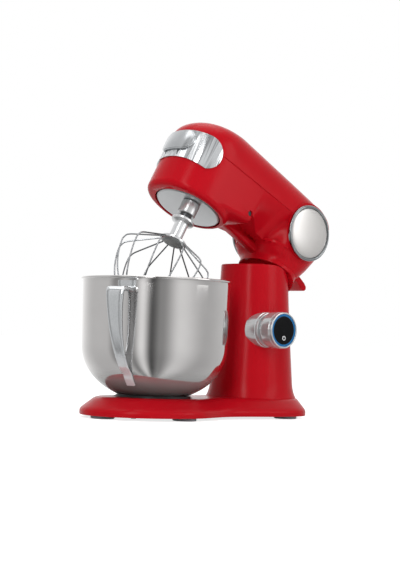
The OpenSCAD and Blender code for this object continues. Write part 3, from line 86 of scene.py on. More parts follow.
def finish(name, colour, shade, metallic=0.0, roughness=0.4, grain=0.5, depth=0.01, patch=12.0,
           stretch=(1, 1, 1), spread=0.05, centre=(0, 0, 0), turned=False, **extra):
    """A maker's finish: two tones in soft patches, with a fine grain of a size and depth in millimetres.
    A turned finish has its grain in rings round the vertical line through centre."""
    material = bpy.data.materials.new(name)
    material.use_nodes = True
    tree = material.node_tree
    tree.nodes.clear()
    place = add_node(tree, "ShaderNodeTexCoord").outputs["Object"]
    place = add_node(tree, "ShaderNodeVectorMath", {0: place, 1: [c * MM for c in centre]},
                     operation="SUBTRACT").outputs[0]
    fine = place
    if turned:
        # The grain is laid out by radius and height, so that it runs in rings
        axes = add_node(tree, "ShaderNodeSeparateXYZ", {0: place})
        flat = add_node(tree, "ShaderNodeCombineXYZ", {0: axes.outputs[0], 1: axes.outputs[1]})
        radius = add_node(tree, "ShaderNodeVectorMath", {0: flat.outputs[0]}, operation="LENGTH")
        rings = add_node(tree, "ShaderNodeCombineXYZ", {0: radius.outputs["Value"], 2: axes.outputs[2]})
        fine = rings.outputs[0]
    scaled = add_node(tree, "ShaderNodeVectorMath",
                      {0: fine, 1: [s / (grain * MM) for s in stretch]}, operation="MULTIPLY")
    grains = add_node(tree, "ShaderNodeTexNoise",
                      {"Vector": scaled.outputs[0], "Scale": 1.0, "Detail": 2.0, "Roughness": 0.5})
    patches = add_node(tree, "ShaderNodeTexNoise",
                       {"Vector": place, "Scale": 1 / (patch * MM), "Detail": 2.0, "Roughness": 0.5})
    tone = add_node(tree, "ShaderNodeMix", {0: patches.outputs["Fac"], 6: linear(colour), 7: linear(shade)},
                    data_type="RGBA")
    rough = add_node(tree, "ShaderNodeMapRange",
                     {"Value": grains.outputs["Fac"], "From Min": 0.3, "From Max": 0.7,
                      "To Min": max(0.0, roughness - spread), "To Max": roughness + spread})
    bump = add_node(tree, "ShaderNodeBump",
                    {"Height": grains.outputs["Fac"], "Distance": depth * MM, "Strength": 1.0})
    surface = add_node(tree, "ShaderNodeBsdfPrincipled",
                       {"Base Color": tone.outputs[2], "Roughness": rough.outputs[0], "Metallic": metallic,
                        "Normal": bump.outputs[0], **extra})
    add_node(tree, "ShaderNodeOutputMaterial", {"Surface": surface.outputs[0]})
    return material


def only(piece):
    """Selects one piece and nothing else."""
    bpy.ops.object.select_all(action="DESELECT")
    piece.select_set(True)
    bpy.context.view_layer.objects.active = piece


def grown(name, rings):
    """A closed form extruded ring by ring from a filled circle, with each ring laid on its points in
    millimetres."""
    bpy.ops.object.select_all(action="DESELECT")
    bpy.ops.mesh.primitive_circle_add(vertices=len(rings[0]), fill_type="NGON")
    piece = bpy.context.object
    piece.name = name
    bpy.ops.object.mode_set(mode="EDIT")
    mesh = bmesh.from_edit_mesh(piece.data)
    order = mesh.verts.layers.int.new("order")
    for i, vert in enumerate(mesh.verts):
        vert[order] = i
    for k, points in enumerate(rings):
        if k:
            bpy.ops.mesh.extrude_region_move()
            mesh = bmesh.from_edit_mesh(piece.data)
            order = mesh.verts.layers.int["order"]
        for vert in mesh.verts:
            if vert.select:
                vert.co = Vector(points[vert[order]]) * MM
        bmesh.update_edit_mesh(piece.data)
    mesh.verts.layers.int.remove(order)
    bpy.ops.mesh.select_all(action="SELECT")
    bpy.ops.mesh.normals_make_consistent(inside=False)
    bpy.ops.object.mode_set(mode="OBJECT")
    return piece


def block(low, high):
    """A box between two corners in millimetres."""
    bpy.ops.object.select_all(action="DESELECT")
    bpy.ops.mesh.primitive_cube_add(size=1.0)
    piece = bpy.context.object
    size = [(b - a) * MM for a, b in zip(low, high)]
    middle = [(a + b) / 2 * MM for a, b in zip(low, high)]
    piece.data.transform(Matrix.Translation(middle) @ Matrix.Diagonal(size + [1.0]))
    return piece


def rod(centre, radius, length, axis="Y", sides=96):
    """A cylinder along an axis about its middle, in millimetres."""
    bpy.ops.object.select_all(action="DESELECT")
    bpy.ops.mesh.primitive_cylinder_add(vertices=sides, radius=radius * MM, depth=length * MM)
    piece = bpy.context.object
    turn = {"X": Matrix.Rotation(math.pi / 2, 4, "Y"), "Y": Matrix.Rotation(math.pi / 2, 4, "X"),
            "Z": Matrix.Identity(4)}[axis]
    piece.data.transform(Matrix.Translation(Vector(centre) * MM) @ turn)
    return piece


def prism(points, low, high, axis="Z"):
    """A prism of a plan in millimetres, along Z, or along Y from a plan of X and Z."""
    if axis == "Z":
        return grown("prism", [[(x, y, level) for x, y in points] for level in (low, high)])
    return grown("prism", [[(x, level, z) for x, z in points] for level in (low, high)])


def combined(piece, other, operation):
    """Joins, cuts or keeps in common with another closed piece, which is used up."""
    only(piece)
    step = piece.modifiers.new("combine", "BOOLEAN")
    step.operation = operation
    step.solver = "EXACT"
    step.object = other
    bpy.ops.object.modifier_apply(modifier=step.name)
    bpy.data.objects.remove(other, do_unlink=True)


def softened(piece, width, segments=3, angle=32.0, smooth=32.0):
    """Rounds the sharp edges of a piece and smooths the rest."""
    only(piece)
    if width:
        step = piece.modifiers.new("edges", "BEVEL")
        step.width = width * MM
        step.segments = segments
        step.limit_method = "ANGLE"
        step.angle_limit = math.radians(angle)
        bpy.ops.object.modifier_apply(modifier=step.name)
    bpy.ops.object.shade_smooth_by_angle(angle=math.radians(smooth))


def dress(piece, material):
    """Gives a piece one material all over."""
    piece.data.materials.clear()
    piece.data.materials.append(material)


def x_at(cx, a, power, turn):
    """X of a point on a squared-off ellipse about cx, at an angle in radians."""
    c = math.cos(turn)
    return cx + a * math.copysign(abs(c) ** (2 / power), c)


def y_at(b, power, turn):
    """Y of a point on a squared-off ellipse, at an angle in radians."""
    s = math.sin(turn)
    return b * math.copysign(abs(s) ** (2 / power), s)


def base_half_w(x):
    """Half width of the base behind the bowl's axis: in to its waist and out to its stern."""
    if x < STERN_X / 2:
        return BOW_HALF_W - (BOW_HALF_W - BASE_WAIST_HALF_W) * (1 - math.cos(2 * math.pi * x / STERN_X)) / 2
    wave = 1 + math.cos(2 * math.pi * (x / STERN_X - 0.5))
    return STERN_HALF_W - (STERN_HALF_W - BASE_WAIST_HALF_W) * wave / 2


def base_ring(drawn, z):
    """Outline of the base at a level, drawn in by a distance."""
    side = []
    for i in range(40):
        turn = math.pi - math.pi / 2 * i / 40
        side.append((x_at(0, BOW_R - drawn, 2, turn), -y_at(BOW_HALF_W - drawn, 2, turn)))
    side += [(STERN_X * i / 36, drawn - base_half_w(STERN_X * i / 36)) for i in range(36)]
    for i in range(33):
        turn = math.pi / 2 - math.pi / 2 * i / 32
        side.append((x_at(STERN_X, STERN_R - drawn * 0.22, 2.4, turn),
                     -y_at(STERN_HALF_W - drawn, 2.4, turn)))
    points = side + [(x, -y) for x, y in side[-2:0:-1]]
    return [(BOWL_X + x, y, z) for x, y in points]


def column_ring(z, scale=1.0):
    """Outline of the column at a level."""
    share = ((COLUMN_H - z) / (COLUMN_H - BASE_TOP)) ** 1.25
    flare = 0 if z >= FLARE_TOP else 4 * ((FLARE_TOP - z) / (FLARE_TOP - BASE_TOP)) ** 3
    a, b = (52 + 14 * share + flare) * scale, (48 + 12 * share + flare) * scale
    return [(x_at(COLUMN_X, a, 2.15, t), y_at(b, 2.15, t), z)
            for t in (2 * math.pi * i / 128 for i in range(128))]


stand = grown("stand_casting", [base_ring(d, z) for d, z in (
    (0.8, 4), (0.2, 4.4), (0, 5), (0, 9.8), (0.15, 10.8), (0.7, 12.0), (2.0, 13.8), (5, 16.35), (9, 19.5),
    (13.5, 23.0), (17.0, 25.7), (19.5, 27.5), (22.5, 28.9), (25.8, 29.7), (31, 30))])
foot = [(x, y, 24) for x, y, _ in column_ring(BASE_TOP)]
levels = [30, 31, 32.5, 35, 38.5, 43, 48, 53, 58, 68, 84, 104, 126, 150, 175, 200, 218, 226, 228.6]
column = grown("column", [foot] + [column_ring(z) for z in levels]
               + [column_ring(229.9, 0.994), column_ring(230.7, 0.984), column_ring(231, 0.968)])
combined(stand, column, "UNION")
# The column is rounded behind about the hinge, and slotted for the head's neck
cutter = block((HINGE_X, -80, HINGE_Z), (HINGE_X + 90, 80, 300))
combined(cutter, rod((HINGE_X, 0, HINGE_Z), BARREL_R, 190, sides=256), "DIFFERENCE")
combined(stand, cutter, "DIFFERENCE")
slot_x, slot_z = SLOT_R * math.cos(SLOT_LEAN), -SLOT_R * math.sin(SLOT_LEAN)
slot_plan = [(-SLOT_R, 0), (-SLOT_R, 90), (90, 90),
             (slot_x + 90 * math.sin(SLOT_LEAN), 90 * math.cos(SLOT_LEAN) + slot_z), (slot_x, slot_z)]
hinge_cuts = [rod((HINGE_X, 0, HINGE_Z), SLOT_R, 2 * SLOT_HALF_W),
              prism([(HINGE_X + x, HINGE_Z + z) for x, z in slot_plan], -SLOT_HALF_W, SLOT_HALF_W, "Y"),
              rod((HINGE_X, 52, HINGE_Z), 6.05, 110)]
# Inside of the column, and openings for the two steps of the dial's mount, the cord's gland and the
# bowl seat
column_hollow = [(COLUMN_X + x_at(0, 44, 3, t), y_at(41, 3, t))
                 for t in (math.radians(10 * i) for i in range(36))]
openings = [prism(column_hollow, 2, 124.9), rod((DIAL_X, -58, DIAL_Z), 19.55, 60),
            rod((DIAL_X, -54, DIAL_Z), 26.45, 40), rod((172, 0, 62), 7.05, 60, "X"),
            rod((BOWL_X, 0, 40), 57.05, 30, "Z")]
# Underneath, a recess for the base cover and a smaller hollow above it
recesses = [prism([(min(x, 164.0), y) for x, y, _ in base_ring(6, 0)], 3, 12),
            prism([(min(x, 145.0), y) for x, y, _ in base_ring(25, 0)], 11.5, 21)]
for cut in hinge_cuts + openings + recesses:
    combined(stand, cut, "DIFFERENCE")
softened(stand, 0.9, 3)
# Baked enamel: an even deep red with a wide, soft gloss, kept faint so that a white room leaves it red
red_enamel = finish("glossy_red_enamel", RED, RED_DEEP, roughness=0.24, grain=2.2, depth=0.006, patch=60,
                    spread=0.03, **{"Specular IOR Level": 0.09})
dress(stand, red_enamel)
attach(stand, "stand")
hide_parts("pedestal")


# ---------------------------------------------------------------- underside of the stand
# A moulded black plate closes the base from below. Five grey rubber feet plug into it and cross-head
# screws hold it to bosses in the casting.
# Moulded plastic: near black and dull, with a fine sparkle of moulded grain
dress(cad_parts["base_cover"], finish("black_moulded_plate", "#2A2B2D", "#232426", roughness=0.55,
                                           grain=0.8, depth=0.03))
# Rubber: matt grey, with no highlight of its own
dress(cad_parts["feet"], finish("grey_rubber", "#8C9094", "#7C8084", roughness=0.7, grain=0.4,
                                     depth=0.02))
# Zinc plate: pale and a little cloudy
zinc = finish("zinc_plated_screw", "#B9BCBD", "#A3A6A5", metallic=1.0, roughness=0.32, grain=0.3,
              depth=0.004, patch=2)
for name in ("base_screws", "seat_screws"):
    dress(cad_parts[name], zinc)


# ---------------------------------------------------------------- bowl seat
# The bowl turns into a seat of pressed steel, whose three tabs hold its lugs. Screws from below hold
# it to the base.
# Blackened steel: dark and half dull, with its grain in rings
dress(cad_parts["bowl_seat"], finish(
    "blackened_seat_steel", "#3C3E3F", "#303233", metallic=0.6, roughness=0.4, grain=0.25, depth=0.004,
    turned=True, centre=(BOWL_X, 0, 0)))


# ---------------------------------------------------------------- hinge and latch
# The head swings on a ground steel pin in bronze bushes. A red plug covers the pin's end, and the
# release lever's finger drops into a steel strike on the barrel behind the hinge.
# Ground steel: bright, with fine scratches drawn out across the machine, along the pins
ground_steel = finish("ground_steel", "#B4B6B8", "#9FA2A4", metallic=1.0, roughness=0.25, grain=0.2,
                      depth=0.002, stretch=(1, 0.1, 1))
for name in ("hinge_pin", "latch_strike", "lever_pin", "shaft_pin"):
    dress(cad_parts[name], ground_steel)
dress(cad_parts["hinge_plug"], red_enamel)
# Sintered bronze: brown gold and slightly pitted
dress(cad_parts["hinge_bushes"], finish("sintered_bronze", "#A87B45", "#8E6537", metallic=1.0,
                                             roughness=0.42, grain=0.15, depth=0.01, patch=3))


# ---------------------------------------------------------------- controls in the column
# A circuit board and the dial's encoder sit inside the column, and the cord's gland is in its rear.
# None of them shows from outside but the gland, a ring of black rubber.
# Solder mask: a shiny dark green lacquer over the board
dress(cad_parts["control_board"], finish("solder_masked_board", "#1E5B34", "#17492A", roughness=0.35,
                                              grain=1.2, depth=0.02, patch=6))
# Moulded housing: plain mid grey
dress(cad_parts["dial_encoder"], finish("encoder_housing", "#55585C", "#484B4F", roughness=0.5,
                                             grain=0.4, depth=0.01))
# Moulded rubber: matt black
dress(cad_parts["cord_gland"], finish("black_gland_rubber", "#1A1A1B", "#222224", roughness=0.6,
                                           grain=0.5, depth=0.02))


# ---------------------------------------------------------------- speed dial
# The dial is a chromed barrel that turns round a fixed black glass with a light ring and a power mark.
# Its chromed mount is let into the side of the column.
DIAL_BACK = 61.0


def turned(name, profile, steps=128):
    """A form of revolution about Z: a vertex is extruded along a profile of radius and height in
    millimetres, and spun round."""
    bpy.ops.object.select_all(action="DESELECT")
    bpy.ops.mesh.primitive_plane_add(size=1.0)
    piece = bpy.context.object
    piece.name = name
    bpy.ops.object.mode_set(mode="EDIT")
    bpy.ops.mesh.merge(type="CENTER")
    mesh = bmesh.from_edit_mesh(piece.data)
    mesh.verts.ensure_lookup_table()
    mesh.verts[0].co = (profile[0][0] * MM, 0, profile[0][1] * MM)
    mesh.verts[0].select = True
    bmesh.update_edit_mesh(piece.data)
    bpy.ops.mesh.select_mode(type="VERT")
    for (r0, z0), (r1, z1) in zip(profile, profile[1:]):
        bpy.ops.mesh.extrude_vertices_move(
            TRANSFORM_OT_translate={"value": ((r1 - r0) * MM, 0, (z1 - z0) * MM)})
    bpy.ops.mesh.select_all(action="SELECT")
    bpy.ops.mesh.spin(steps=steps, angle=2 * math.pi, center=(0, 0, 0), axis=(0, 0, 1))
    bpy.ops.mesh.select_all(action="SELECT")
    bpy.ops.mesh.remove_doubles(threshold=0.000004)
    bpy.ops.mesh.normals_make_consistent(inside=False)
    bpy.ops.object.mode_set(mode="OBJECT")
    return piece


def arc(cx, cz, radius, start, end, count=6):
    """Points on an arc of a profile, with its angles in degrees."""
    turns = [math.radians(start + (end - start) * i / count) for i in range(count + 1)]
    return [(cx + radius * math.cos(t), cz + radius * math.sin(t)) for t in turns]


at_dial = Matrix.Translation((DIAL_X * MM, -DIAL_BACK * MM, DIAL_Z * MM))
facing_side = at_dial @ Matrix.Rotation(math.pi / 2, 4, "X")
dial_flare = [(19.5, 0), (20.6, 0.4), (21.5, 1.0), (25, 4), (26.3, 5.6), (26.9, 7.4), (27, 9), (27, 22.6)]
dial_lip = (arc(26.2, 22.9, 0.8, 0, 60) + [(26.1, 25.2)] + arc(25.5, 28.9, 1.1, 10, 100)
            + arc(24.9, 29.6, 0.4, 90, 180))
dial = turned("dial_barrel", [(10.06, 0)] + dial_flare + dial_lip + [(24.5, 24.5), (10.06, 24.5), (10.06, 0)])
dial.data.transform(facing_side)
softened(dial, 0, smooth=35)
# Chrome plate: a clear mirror. It is only part metallic, so that the red column doesn't fill it
chrome = finish("polished_chrome", "#D6D9DA", "#C6CACB", metallic=0.6, roughness=0.16, grain=0.7,
                depth=0.0015, patch=20, spread=0.02)
dress(dial, chrome)
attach(dial, "dial")
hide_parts("speed_dial")
mount = turned("dial_escutcheon", [(7, -22.9), (7, 24.9), (10, 24.9), (10, -0.6), (24.2, -0.6), (25.4, -1.0),
                                   (26, -2), (26, -5), (25.2, -5.6), (25.2, -6.6), (26.4, -7.2), (26.4, -27),
                                   (19.45, -27), (19.45, -33), (12.05, -33), (12.05, -22.9), (7, -22.9)])
mount.data.transform(facing_side)
softened(mount, 0, smooth=35)
dress(mount, chrome)
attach(mount, "stand")
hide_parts("dial_mount")
# Black glass: deep and smooth, with a faint reflection
dress(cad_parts["display_glass"], finish(
    "black_display_glass", "#08090A", "#0B0C0E", roughness=0.12, grain=1.5, depth=0.001, patch=9, spread=0.02,
    **{"Specular IOR Level": 0.12}))
# Clear light guide, lit from behind: a dim even blue
dress(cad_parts["light_ring"], finish(
    "lit_blue_diffuser", "#12507E", "#10466E", roughness=0.35, grain=0.5, depth=0.01, patch=5,
    **{"Emission Color": linear("#1377B8"), "Emission Strength": 0.35, "Specular IOR Level": 0.2}))
# The power mark is a ring of printed ink with a gap on top and a bar in the gap
MARK_LOW, MARK_HIGH = 29.52, 29.72
mark = turned("power_mark_ring", [(2.5, MARK_LOW), (3.2, MARK_LOW), (3.2, MARK_HIGH), (2.5, MARK_HIGH),
                                  (2.5, MARK_LOW)], 64)
combined(mark, block((-1.2, 0.8, 28), (1.2, 5, 31)), "DIFFERENCE")
combined(mark, block((-0.35, 0.7, MARK_LOW), (0.35, 3.6, MARK_HIGH)), "UNION")
mark.data.transform(facing_side @ Matrix.Translation((0, -11.5 * MM, 0)))
# Printed ink: flat white, with a painted glow that keeps it bright
dress(mark, finish("printed_white_painted_glow", "#F2F4F5", "#E8EAEC", roughness=0.5, grain=0.2, depth=0.004,
                   **{"Emission Color": linear("#F2F4F5"), "Emission Strength": 0.4}))
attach(mark, "stand")


# ---------------------------------------------------------------- bowl
# The bowl is spun from thin stainless steel with a rolled rim. A dark foot ring with three lugs is
# welded under it, and turns into the seat.
BELLY_R, TURN_Z, FLOOR_Z = 105.5, 104.0, 33.5
WALL = 1.0
# Below TURN_Z the wall turns in to the floor on part of an oval
TURN_DEGREES, TURN_POWER = 60, 0.943


def bowl_curve(radius, depth, steps=28):
    """Profile of the bowl's lower part, from the wall down to the flat of its floor."""
    turns = [math.radians(TURN_DEGREES * i / steps) for i in range(steps + 1)]
    full = math.sin(math.radians(TURN_DEGREES)) ** TURN_POWER
    return [(radius * math.cos(t), TURN_Z - depth * math.sin(t) ** TURN_POWER / full) for t in turns]


def bowl_wall(radius, levels):
    """Profile of the bowl's upper part, which opens by 1.5 mm up to the rim."""
    return [(radius + 1.5 * (z - TURN_Z) / (196 - TURN_Z), z) for z in levels]


outer = bowl_curve(BELLY_R, TURN_Z - FLOOR_Z)
inner = bowl_curve(BELLY_R - WALL, TURN_Z - FLOOR_Z - WALL)
wall_levels = [108, 120, 140, 165, 190]
rolled_rim = [(106.95, 195.6), (107.3, 196.3)] + arc(107.7, 198, 1.9, -70, 150, 14) + [(106.0, 198.2)]
profile = ([(0.0, FLOOR_Z), (outer[-1][0] - 2, FLOOR_Z)] + outer[::-1]
           + bowl_wall(BELLY_R, wall_levels) + rolled_rim + bowl_wall(BELLY_R - WALL, wall_levels[::-1])
           + inner + [(inner[-1][0] - 2, FLOOR_Z + WALL), (0.0, FLOOR_Z + WALL)])
bowl = turned("bowl_shell", profile, 192)
bowl.data.transform(Matrix.Translation((BOWL_X * MM, 0, 0)))
softened(bowl, 0, smooth=40)
# Spun stainless steel: a soft mirror, with faint rings from the spinning
spun_steel = finish("spun_stainless", "#D6D4D3", "#CCCAC9", metallic=1.0, roughness=0.08, grain=0.35,
                    depth=0.0012, patch=40, spread=0.02, turned=True, centre=(BOWL_X, 0, 0))
# Its foot is painted a darker grey, a painted reflection of the dark surroundings below, and is hardly
# metallic, so that the red base isn't mirrored there
tree = spun_steel.node_tree
shell = next(node for node in tree.nodes if node.type == "BSDF_PRINCIPLED")
tone = shell.inputs["Base Color"].links[0].from_socket
level = add_node(tree, "ShaderNodeSeparateXYZ", {0: add_node(tree, "ShaderNodeTexCoord").outputs["Object"]})
share = add_node(tree, "ShaderNodeMapRange",
                 {"Value": level.outputs[2], "From Min": 40 * MM, "From Max": 74 * MM},
                 interpolation_type="SMOOTHSTEP")
# Painted reflection: below 74 mm the steel's colour blends into a darker grey
painted_foot_reflection = add_node(tree, "ShaderNodeMix", {0: share.outputs[0], 6: linear("#717C7A"), 7: tone},
                     data_type="RGBA")
shine = add_node(tree, "ShaderNodeMapRange", {"Value": share.outputs[0], "To Min": 0.1, "To Max": 1.0})
tree.links.new(shine.outputs[0], shell.inputs["Metallic"])
tree.links.new(painted_foot_reflection.outputs[2], shell.inputs["Base Color"])
dress(bowl, spun_steel)
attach(bowl, "bowl")
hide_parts("bowl")
# Pressed steel, left dark: dull, with its grain in rings
dress(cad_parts["bowl_foot_ring"], finish(
    "pressed_foot_ring", "#46494A", "#3A3D3E", metallic=0.8, roughness=0.35, grain=0.3, depth=0.003,
    turned=True, centre=(BOWL_X, 0, 0)))


# ---------------------------------------------------------------- bowl handle
# The handle is pressed from steel strip, folded over under the rim and welded on low down. Its edges
# are turned in, so that it is a channel that narrows to a flat tab.
HANDLE_TURN = math.radians(208)
HANDLE_TOP, HANDLE_LOW = 184.0, 52.0
HANDLE_W_TOP, HANDLE_W_LOW = 26.0, 13.0


def bowl_out(z):
    """Radius of the bowl's outer face at a level."""
    fall = (max(0, TURN_Z - z) / (TURN_Z - FLOOR_Z)) ** (1 / TURN_POWER)
    return BELLY_R * math.cos(math.asin(math.sin(math.radians(TURN_DEGREES)) * fall))


def smooth_path(points, steps):
    """Points on a smooth curve through the given ones."""
    points = [Vector(p) for p in points]
    ends = [2 * points[0] - points[1]] + points + [2 * points[-1] - points[-2]]
    path = []
    for a, b, c, d in zip(ends, ends[1:], ends[2:], ends[3:]):
        for i in range(steps):
            u = i / steps
            path.append(0.5 * (2 * b + (c - a) * u + (2 * a - 5 * b + 4 * c - d) * u * u
                               + (3 * b - a - 3 * c + d) * u ** 3))
    return path + [points[-1]]


def off_bowl(z, gap):
    """A point at a gap off the bowl's face, square to it."""
    slope = Vector((bowl_out(z + 1) - bowl_out(z - 1), 2)).normalized()
    return (bowl_out(z) + gap * slope[1], z - gap * slope[0])


# The strip runs down the wall from the rim, folds out, and curves back in to the bowl's lower part
REACH = 149.0
fold = [(107.6, 193), (107.4, 188), (107.8, 184.4), (112, 183), (126, 184), (REACH - 9, 183.5)]
grip = [(REACH - 2.5, 180.5), (REACH, 173), (REACH - 1.5, 152), (REACH - 8, 124), (REACH - 21, 96),
        (REACH - 38, 74)]
line = smooth_path(fold + grip + [off_bowl(HANDLE_LOW + h, 3.3) for h in (13, 6, -2)], 8)


def handle_rings():
    """Rings of the channel: outer face, turned-in edges and inner face, at each point of the line."""
    rings = []
    turn = Matrix.Rotation(HANDLE_TURN, 3, "Z")
    for i, point in enumerate(line):
        along = (line[min(i + 1, len(line) - 1)] - line[max(i - 1, 0)]).normalized()
        inward = Vector((along[1], -along[0]))
        z = point[1]
        height = max(0, z - HANDLE_LOW) / (HANDLE_TOP - HANDLE_LOW)
        half = (HANDLE_W_LOW + (HANDLE_W_TOP - HANDLE_W_LOW) * height ** 1.4) / 2
        # The edges are turned in most at the grip, and hardly at the fold and the foot
        share = min(1.0, max(0.0, (z - 84) / 40)) * min(1.0, max(0.0, (i - 14) / 10))
        lip = 2.2 + 3.4 * share
        outside = [(half * 0.5, 0), (half - 1.6, 0), (half - 0.45, 0.45), (half, 1.5), (half, lip - 0.5),
                   (half - 0.5, lip)]
        inside = [(half - 1.1, lip - 0.3), (half - 1.5, 2.0), (half - 2.2, 1.4), (half * 0.5, 1.3)]
        right_side = outside + inside
        ring = []
        for y, t in right_side + [(-y, t) for y, t in right_side[::-1]]:
            place = point + inward * t
            ring.append(Vector((BOWL_X, 0, 0)) + turn @ Vector((place[0], y, place[1])))
        rings.append(ring)
    return rings


handle = grown("handle_channel", handle_rings())
softened(handle, 0, smooth=50)
# Pressed and polished stainless steel: brighter than the bowl, with a sharper mirror
pressed_steel = finish("pressed_stainless", "#DCDEE0", "#D0D3D5", metallic=0.9, roughness=0.1, grain=0.5,
                       depth=0.002, patch=15, spread=0.03)
# Like the bowl's, its foot is hardly metallic, so that the red base isn't mirrored there
tree = pressed_steel.node_tree
shell = next(node for node in tree.nodes if node.type == "BSDF_PRINCIPLED")
level = add_node(tree, "ShaderNodeSeparateXYZ", {0: add_node(tree, "ShaderNodeTexCoord").outputs["Object"]})
dulled = add_node(tree, "ShaderNodeMapRange",
                  {"Value": level.outputs[2], "From Min": 60 * MM, "From Max": 100 * MM, "To Min": 0.15,
                   "To Max": 0.9}, interpolation_type="SMOOTHSTEP")
tree.links.new(dulled.outputs[0], shell.inputs["Metallic"])
dress(handle, pressed_steel)
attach(handle, "bowl")
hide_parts("bowl_handle")


# ---------------------------------------------------------------- head housing
# The lower half of the head is an aluminium casting with the nose barrel in front, a waist with a
# narrow web under it, and the neck with the hinge arm. It is drawn level here, then tilted back.
HALF_W, NOSE, REAR = 61.0, 68.0, 252.0
BELLY_Z, NOSE_RIM_Z, SEAM_Z, TOP_Z = 239.0, 226.0, 299.0, 366.0
NECK, NECK_A, NECK_B, NECK_ROUND = 186.0, 41.0, 48.0, 17.5
WAIST_Z, WAIST_IN, SEAM_RISE = 257.0, 34.0, 8.0
# Where the sides start to draw in towards the rear, from the bowl's axis
FLANK = 112.0
# The nose barrel: its rounded lower edge and its rear face, from the bowl's axis
RIM_ROUND, BARREL_BACK = 7.5, 58.5
CAP_X, CAP_Z, CAP_R = HINGE_X - 2, SEAM_Z - 0.5, 43.0
SIDE_SCREW = (BOWL_X + 64, 62.0, 257.0)
# Points on an end arc, and along a side
ARC, SIDE = 32, 48
HEAD_ANGLE = 29.0
hinge = Vector((HINGE_X, 0, HINGE_Z)) * MM
turn_back = Matrix.Rotation(math.radians(HEAD_ANGLE), 4, "Y")
TILT = Matrix.Translation(hinge) @ turn_back @ Matrix.Translation(-hinge)


def front_arc(cx, a, b, steps):
    """Points on the front half of a squared-off ellipse."""
    turns = [math.pi / 2 + math.pi * i / steps for i in range(steps + 1)]
    return [(x_at(cx, a, 2.2, t), y_at(b, 2.2, t)) for t in turns]


def rear_arc(cx, a, b, steps):
    """Points on the rear half of a squared-off ellipse."""
    turns = [1.5 * math.pi + math.pi * i / steps for i in range(steps + 1)]
    return [(x_at(cx, a, 2.2, t), y_at(b, 2.2, t)) for t in turns]


def sides(z, front, rear, flank):
    """A head outline from its two end arcs and the half width along its sides."""
    cx, rear_a, rear_b = rear
    stations = [FLANK * 0.5 + (cx - FLANK * 0.5) * k / SIDE for k in range(SIDE)]
    points = front_arc(0, *front, ARC) + [(x, -flank(x)) for x in stations]
    points += rear_arc(cx, rear_a, rear_b, ARC) + [(x, flank(x)) for x in stations[::-1]]
    return [(BOWL_X + x, y, z) for x, y in points]


def eased(u):
    """A smooth step from 0 to 1."""
    u = min(1.0, max(0.0, u))
    return u * u * (3 - 2 * u)


def ramp(x):
    """How far in the waist is, as a share, behind the bowl's axis: a long ramp behind the side screws."""
    u = (x - 70) / 46
    return 0.7 * min(1.0, max(0.0, u)) + 0.3 * eased(u)


def housing_ring(z, drawn=0.0, front=NOSE):
    """Outline of the housing, whose sides slope in as they go down, between the nose's barrel and the
    neck."""
    s = (SEAM_Z - z) / (SEAM_Z - BELLY_Z)
    cx = NECK + 4 * (1 - s)
    rear_x = REAR - (REAR - NECK - NECK_A - 1) * s ** 1.1
    draw = (HALF_W - NECK_B - 1) * s ** 2.2
    slope = WAIST_IN * min(1.0, (SEAM_Z - z) / (SEAM_Z - WAIST_Z))

    def flank(x):
        waist = slope * ramp(x) * (1 - eased((x - 134) / 24))
        return HALF_W - draw * eased((x - FLANK) / 50) - waist - drawn
    return sides(z, (front, HALF_W - drawn), (cx, rear_x - cx - drawn, HALF_W - draw - drawn), flank)


def closed_plan(z, front, half, rear, power):
    """A closed plan about the bowl's axis: the nose's arc in front, and a rear arc of its own."""
    points = front_arc(0, front, half, ARC)
    points += [(x_at(0, rear, power, t), y_at(half, power, t))
               for t in (1.5 * math.pi + math.pi * i / 48 for i in range(1, 48))]
    return [(BOWL_X + x, y, z) for x, y in points]


def neck_ring(z):
    """Outline of the neck, which rounds out forwards and sideways into the housing above it."""
    climb = max(0.0, min(z, WAIST_Z) - 240)
    out = NECK_ROUND - math.sqrt(NECK_ROUND ** 2 - climb ** 2)
    s = min(1.0, (SEAM_Z - z) / (SEAM_Z - BELLY_Z))
    rear = REAR - (REAR - NECK - NECK_A - 1) * s ** 1.1 - NECK if z > BELLY_Z else NECK_A
    half = HALF_W - (HALF_W - NECK_B - 1) * s ** 2.2 if z > BELLY_Z else NECK_B
    front, power = NECK_A + out, 2.2 + eased((z - 243) / 8)
    points = []
    for i in range(128):
        t = 2 * math.pi * i / 128
        a, n = (front, power) if math.cos(t) < 0 else (rear, 2.2)
        points.append((BOWL_X + x_at(NECK, a, n, t), y_at(half, n, t), z))
    return points


def barrel_rim(t):
    """Outline of the nose barrel on its rounded lower edge, at an angle round that edge."""
    drawn = RIM_ROUND * (1 - math.sin(t))
    return closed_plan(NOSE_RIM_Z + RIM_ROUND * (1 - math.cos(t)), NOSE - drawn, HALF_W - drawn,
                       BARREL_BACK - 5 * (1 - math.sin(t)), 2.1)


def barrel_ring(z):
    """Outline of the nose barrel, whose rear widens and squares off up to the housing."""
    return closed_plan(z, NOSE, HALF_W, BARREL_BACK + 18 * eased((z - 233) / 16),
                       2.1 + 8 * (min(1.0, (z - 233) / 17)) ** 2)


levels = [WAIST_Z, 262, 267, 272, 277, 282, 287, 292, 296]
housing = grown("housing_casting", [housing_ring(z) for z in levels]
                + [housing_ring(SEAM_Z - 0.6, 0.15), housing_ring(SEAM_Z, 0.7)])
barrel = grown("nose_barrel", [barrel_rim(math.radians(9 * k)) for k in range(11)]
               + [barrel_ring(z) for z in (235, 237, 239, 241, 243, 245, 247, 250, 256, 262)])
neck_levels = [193, 210, 225, 229, 231, 233, 235, 236.5, 238, 240, 242.5, 245, 247, 249, 251, 253, 255]
neck = grown("neck", [neck_ring(z) for z in neck_levels + [WAIST_Z, 260]])
combined(neck, rod((HINGE_X, 0, HINGE_Z), BARREL_R + 1, 160, sides=256), "DIFFERENCE")
combined(neck, block((HINGE_X - 100, -80, 100), (HINGE_X, 80, COLUMN_H + 1)), "DIFFERENCE")
web = block((BOWL_X + 30, -8, 242), (BOWL_X + 150, 8, 260))
softened(web, 3.5, 5)
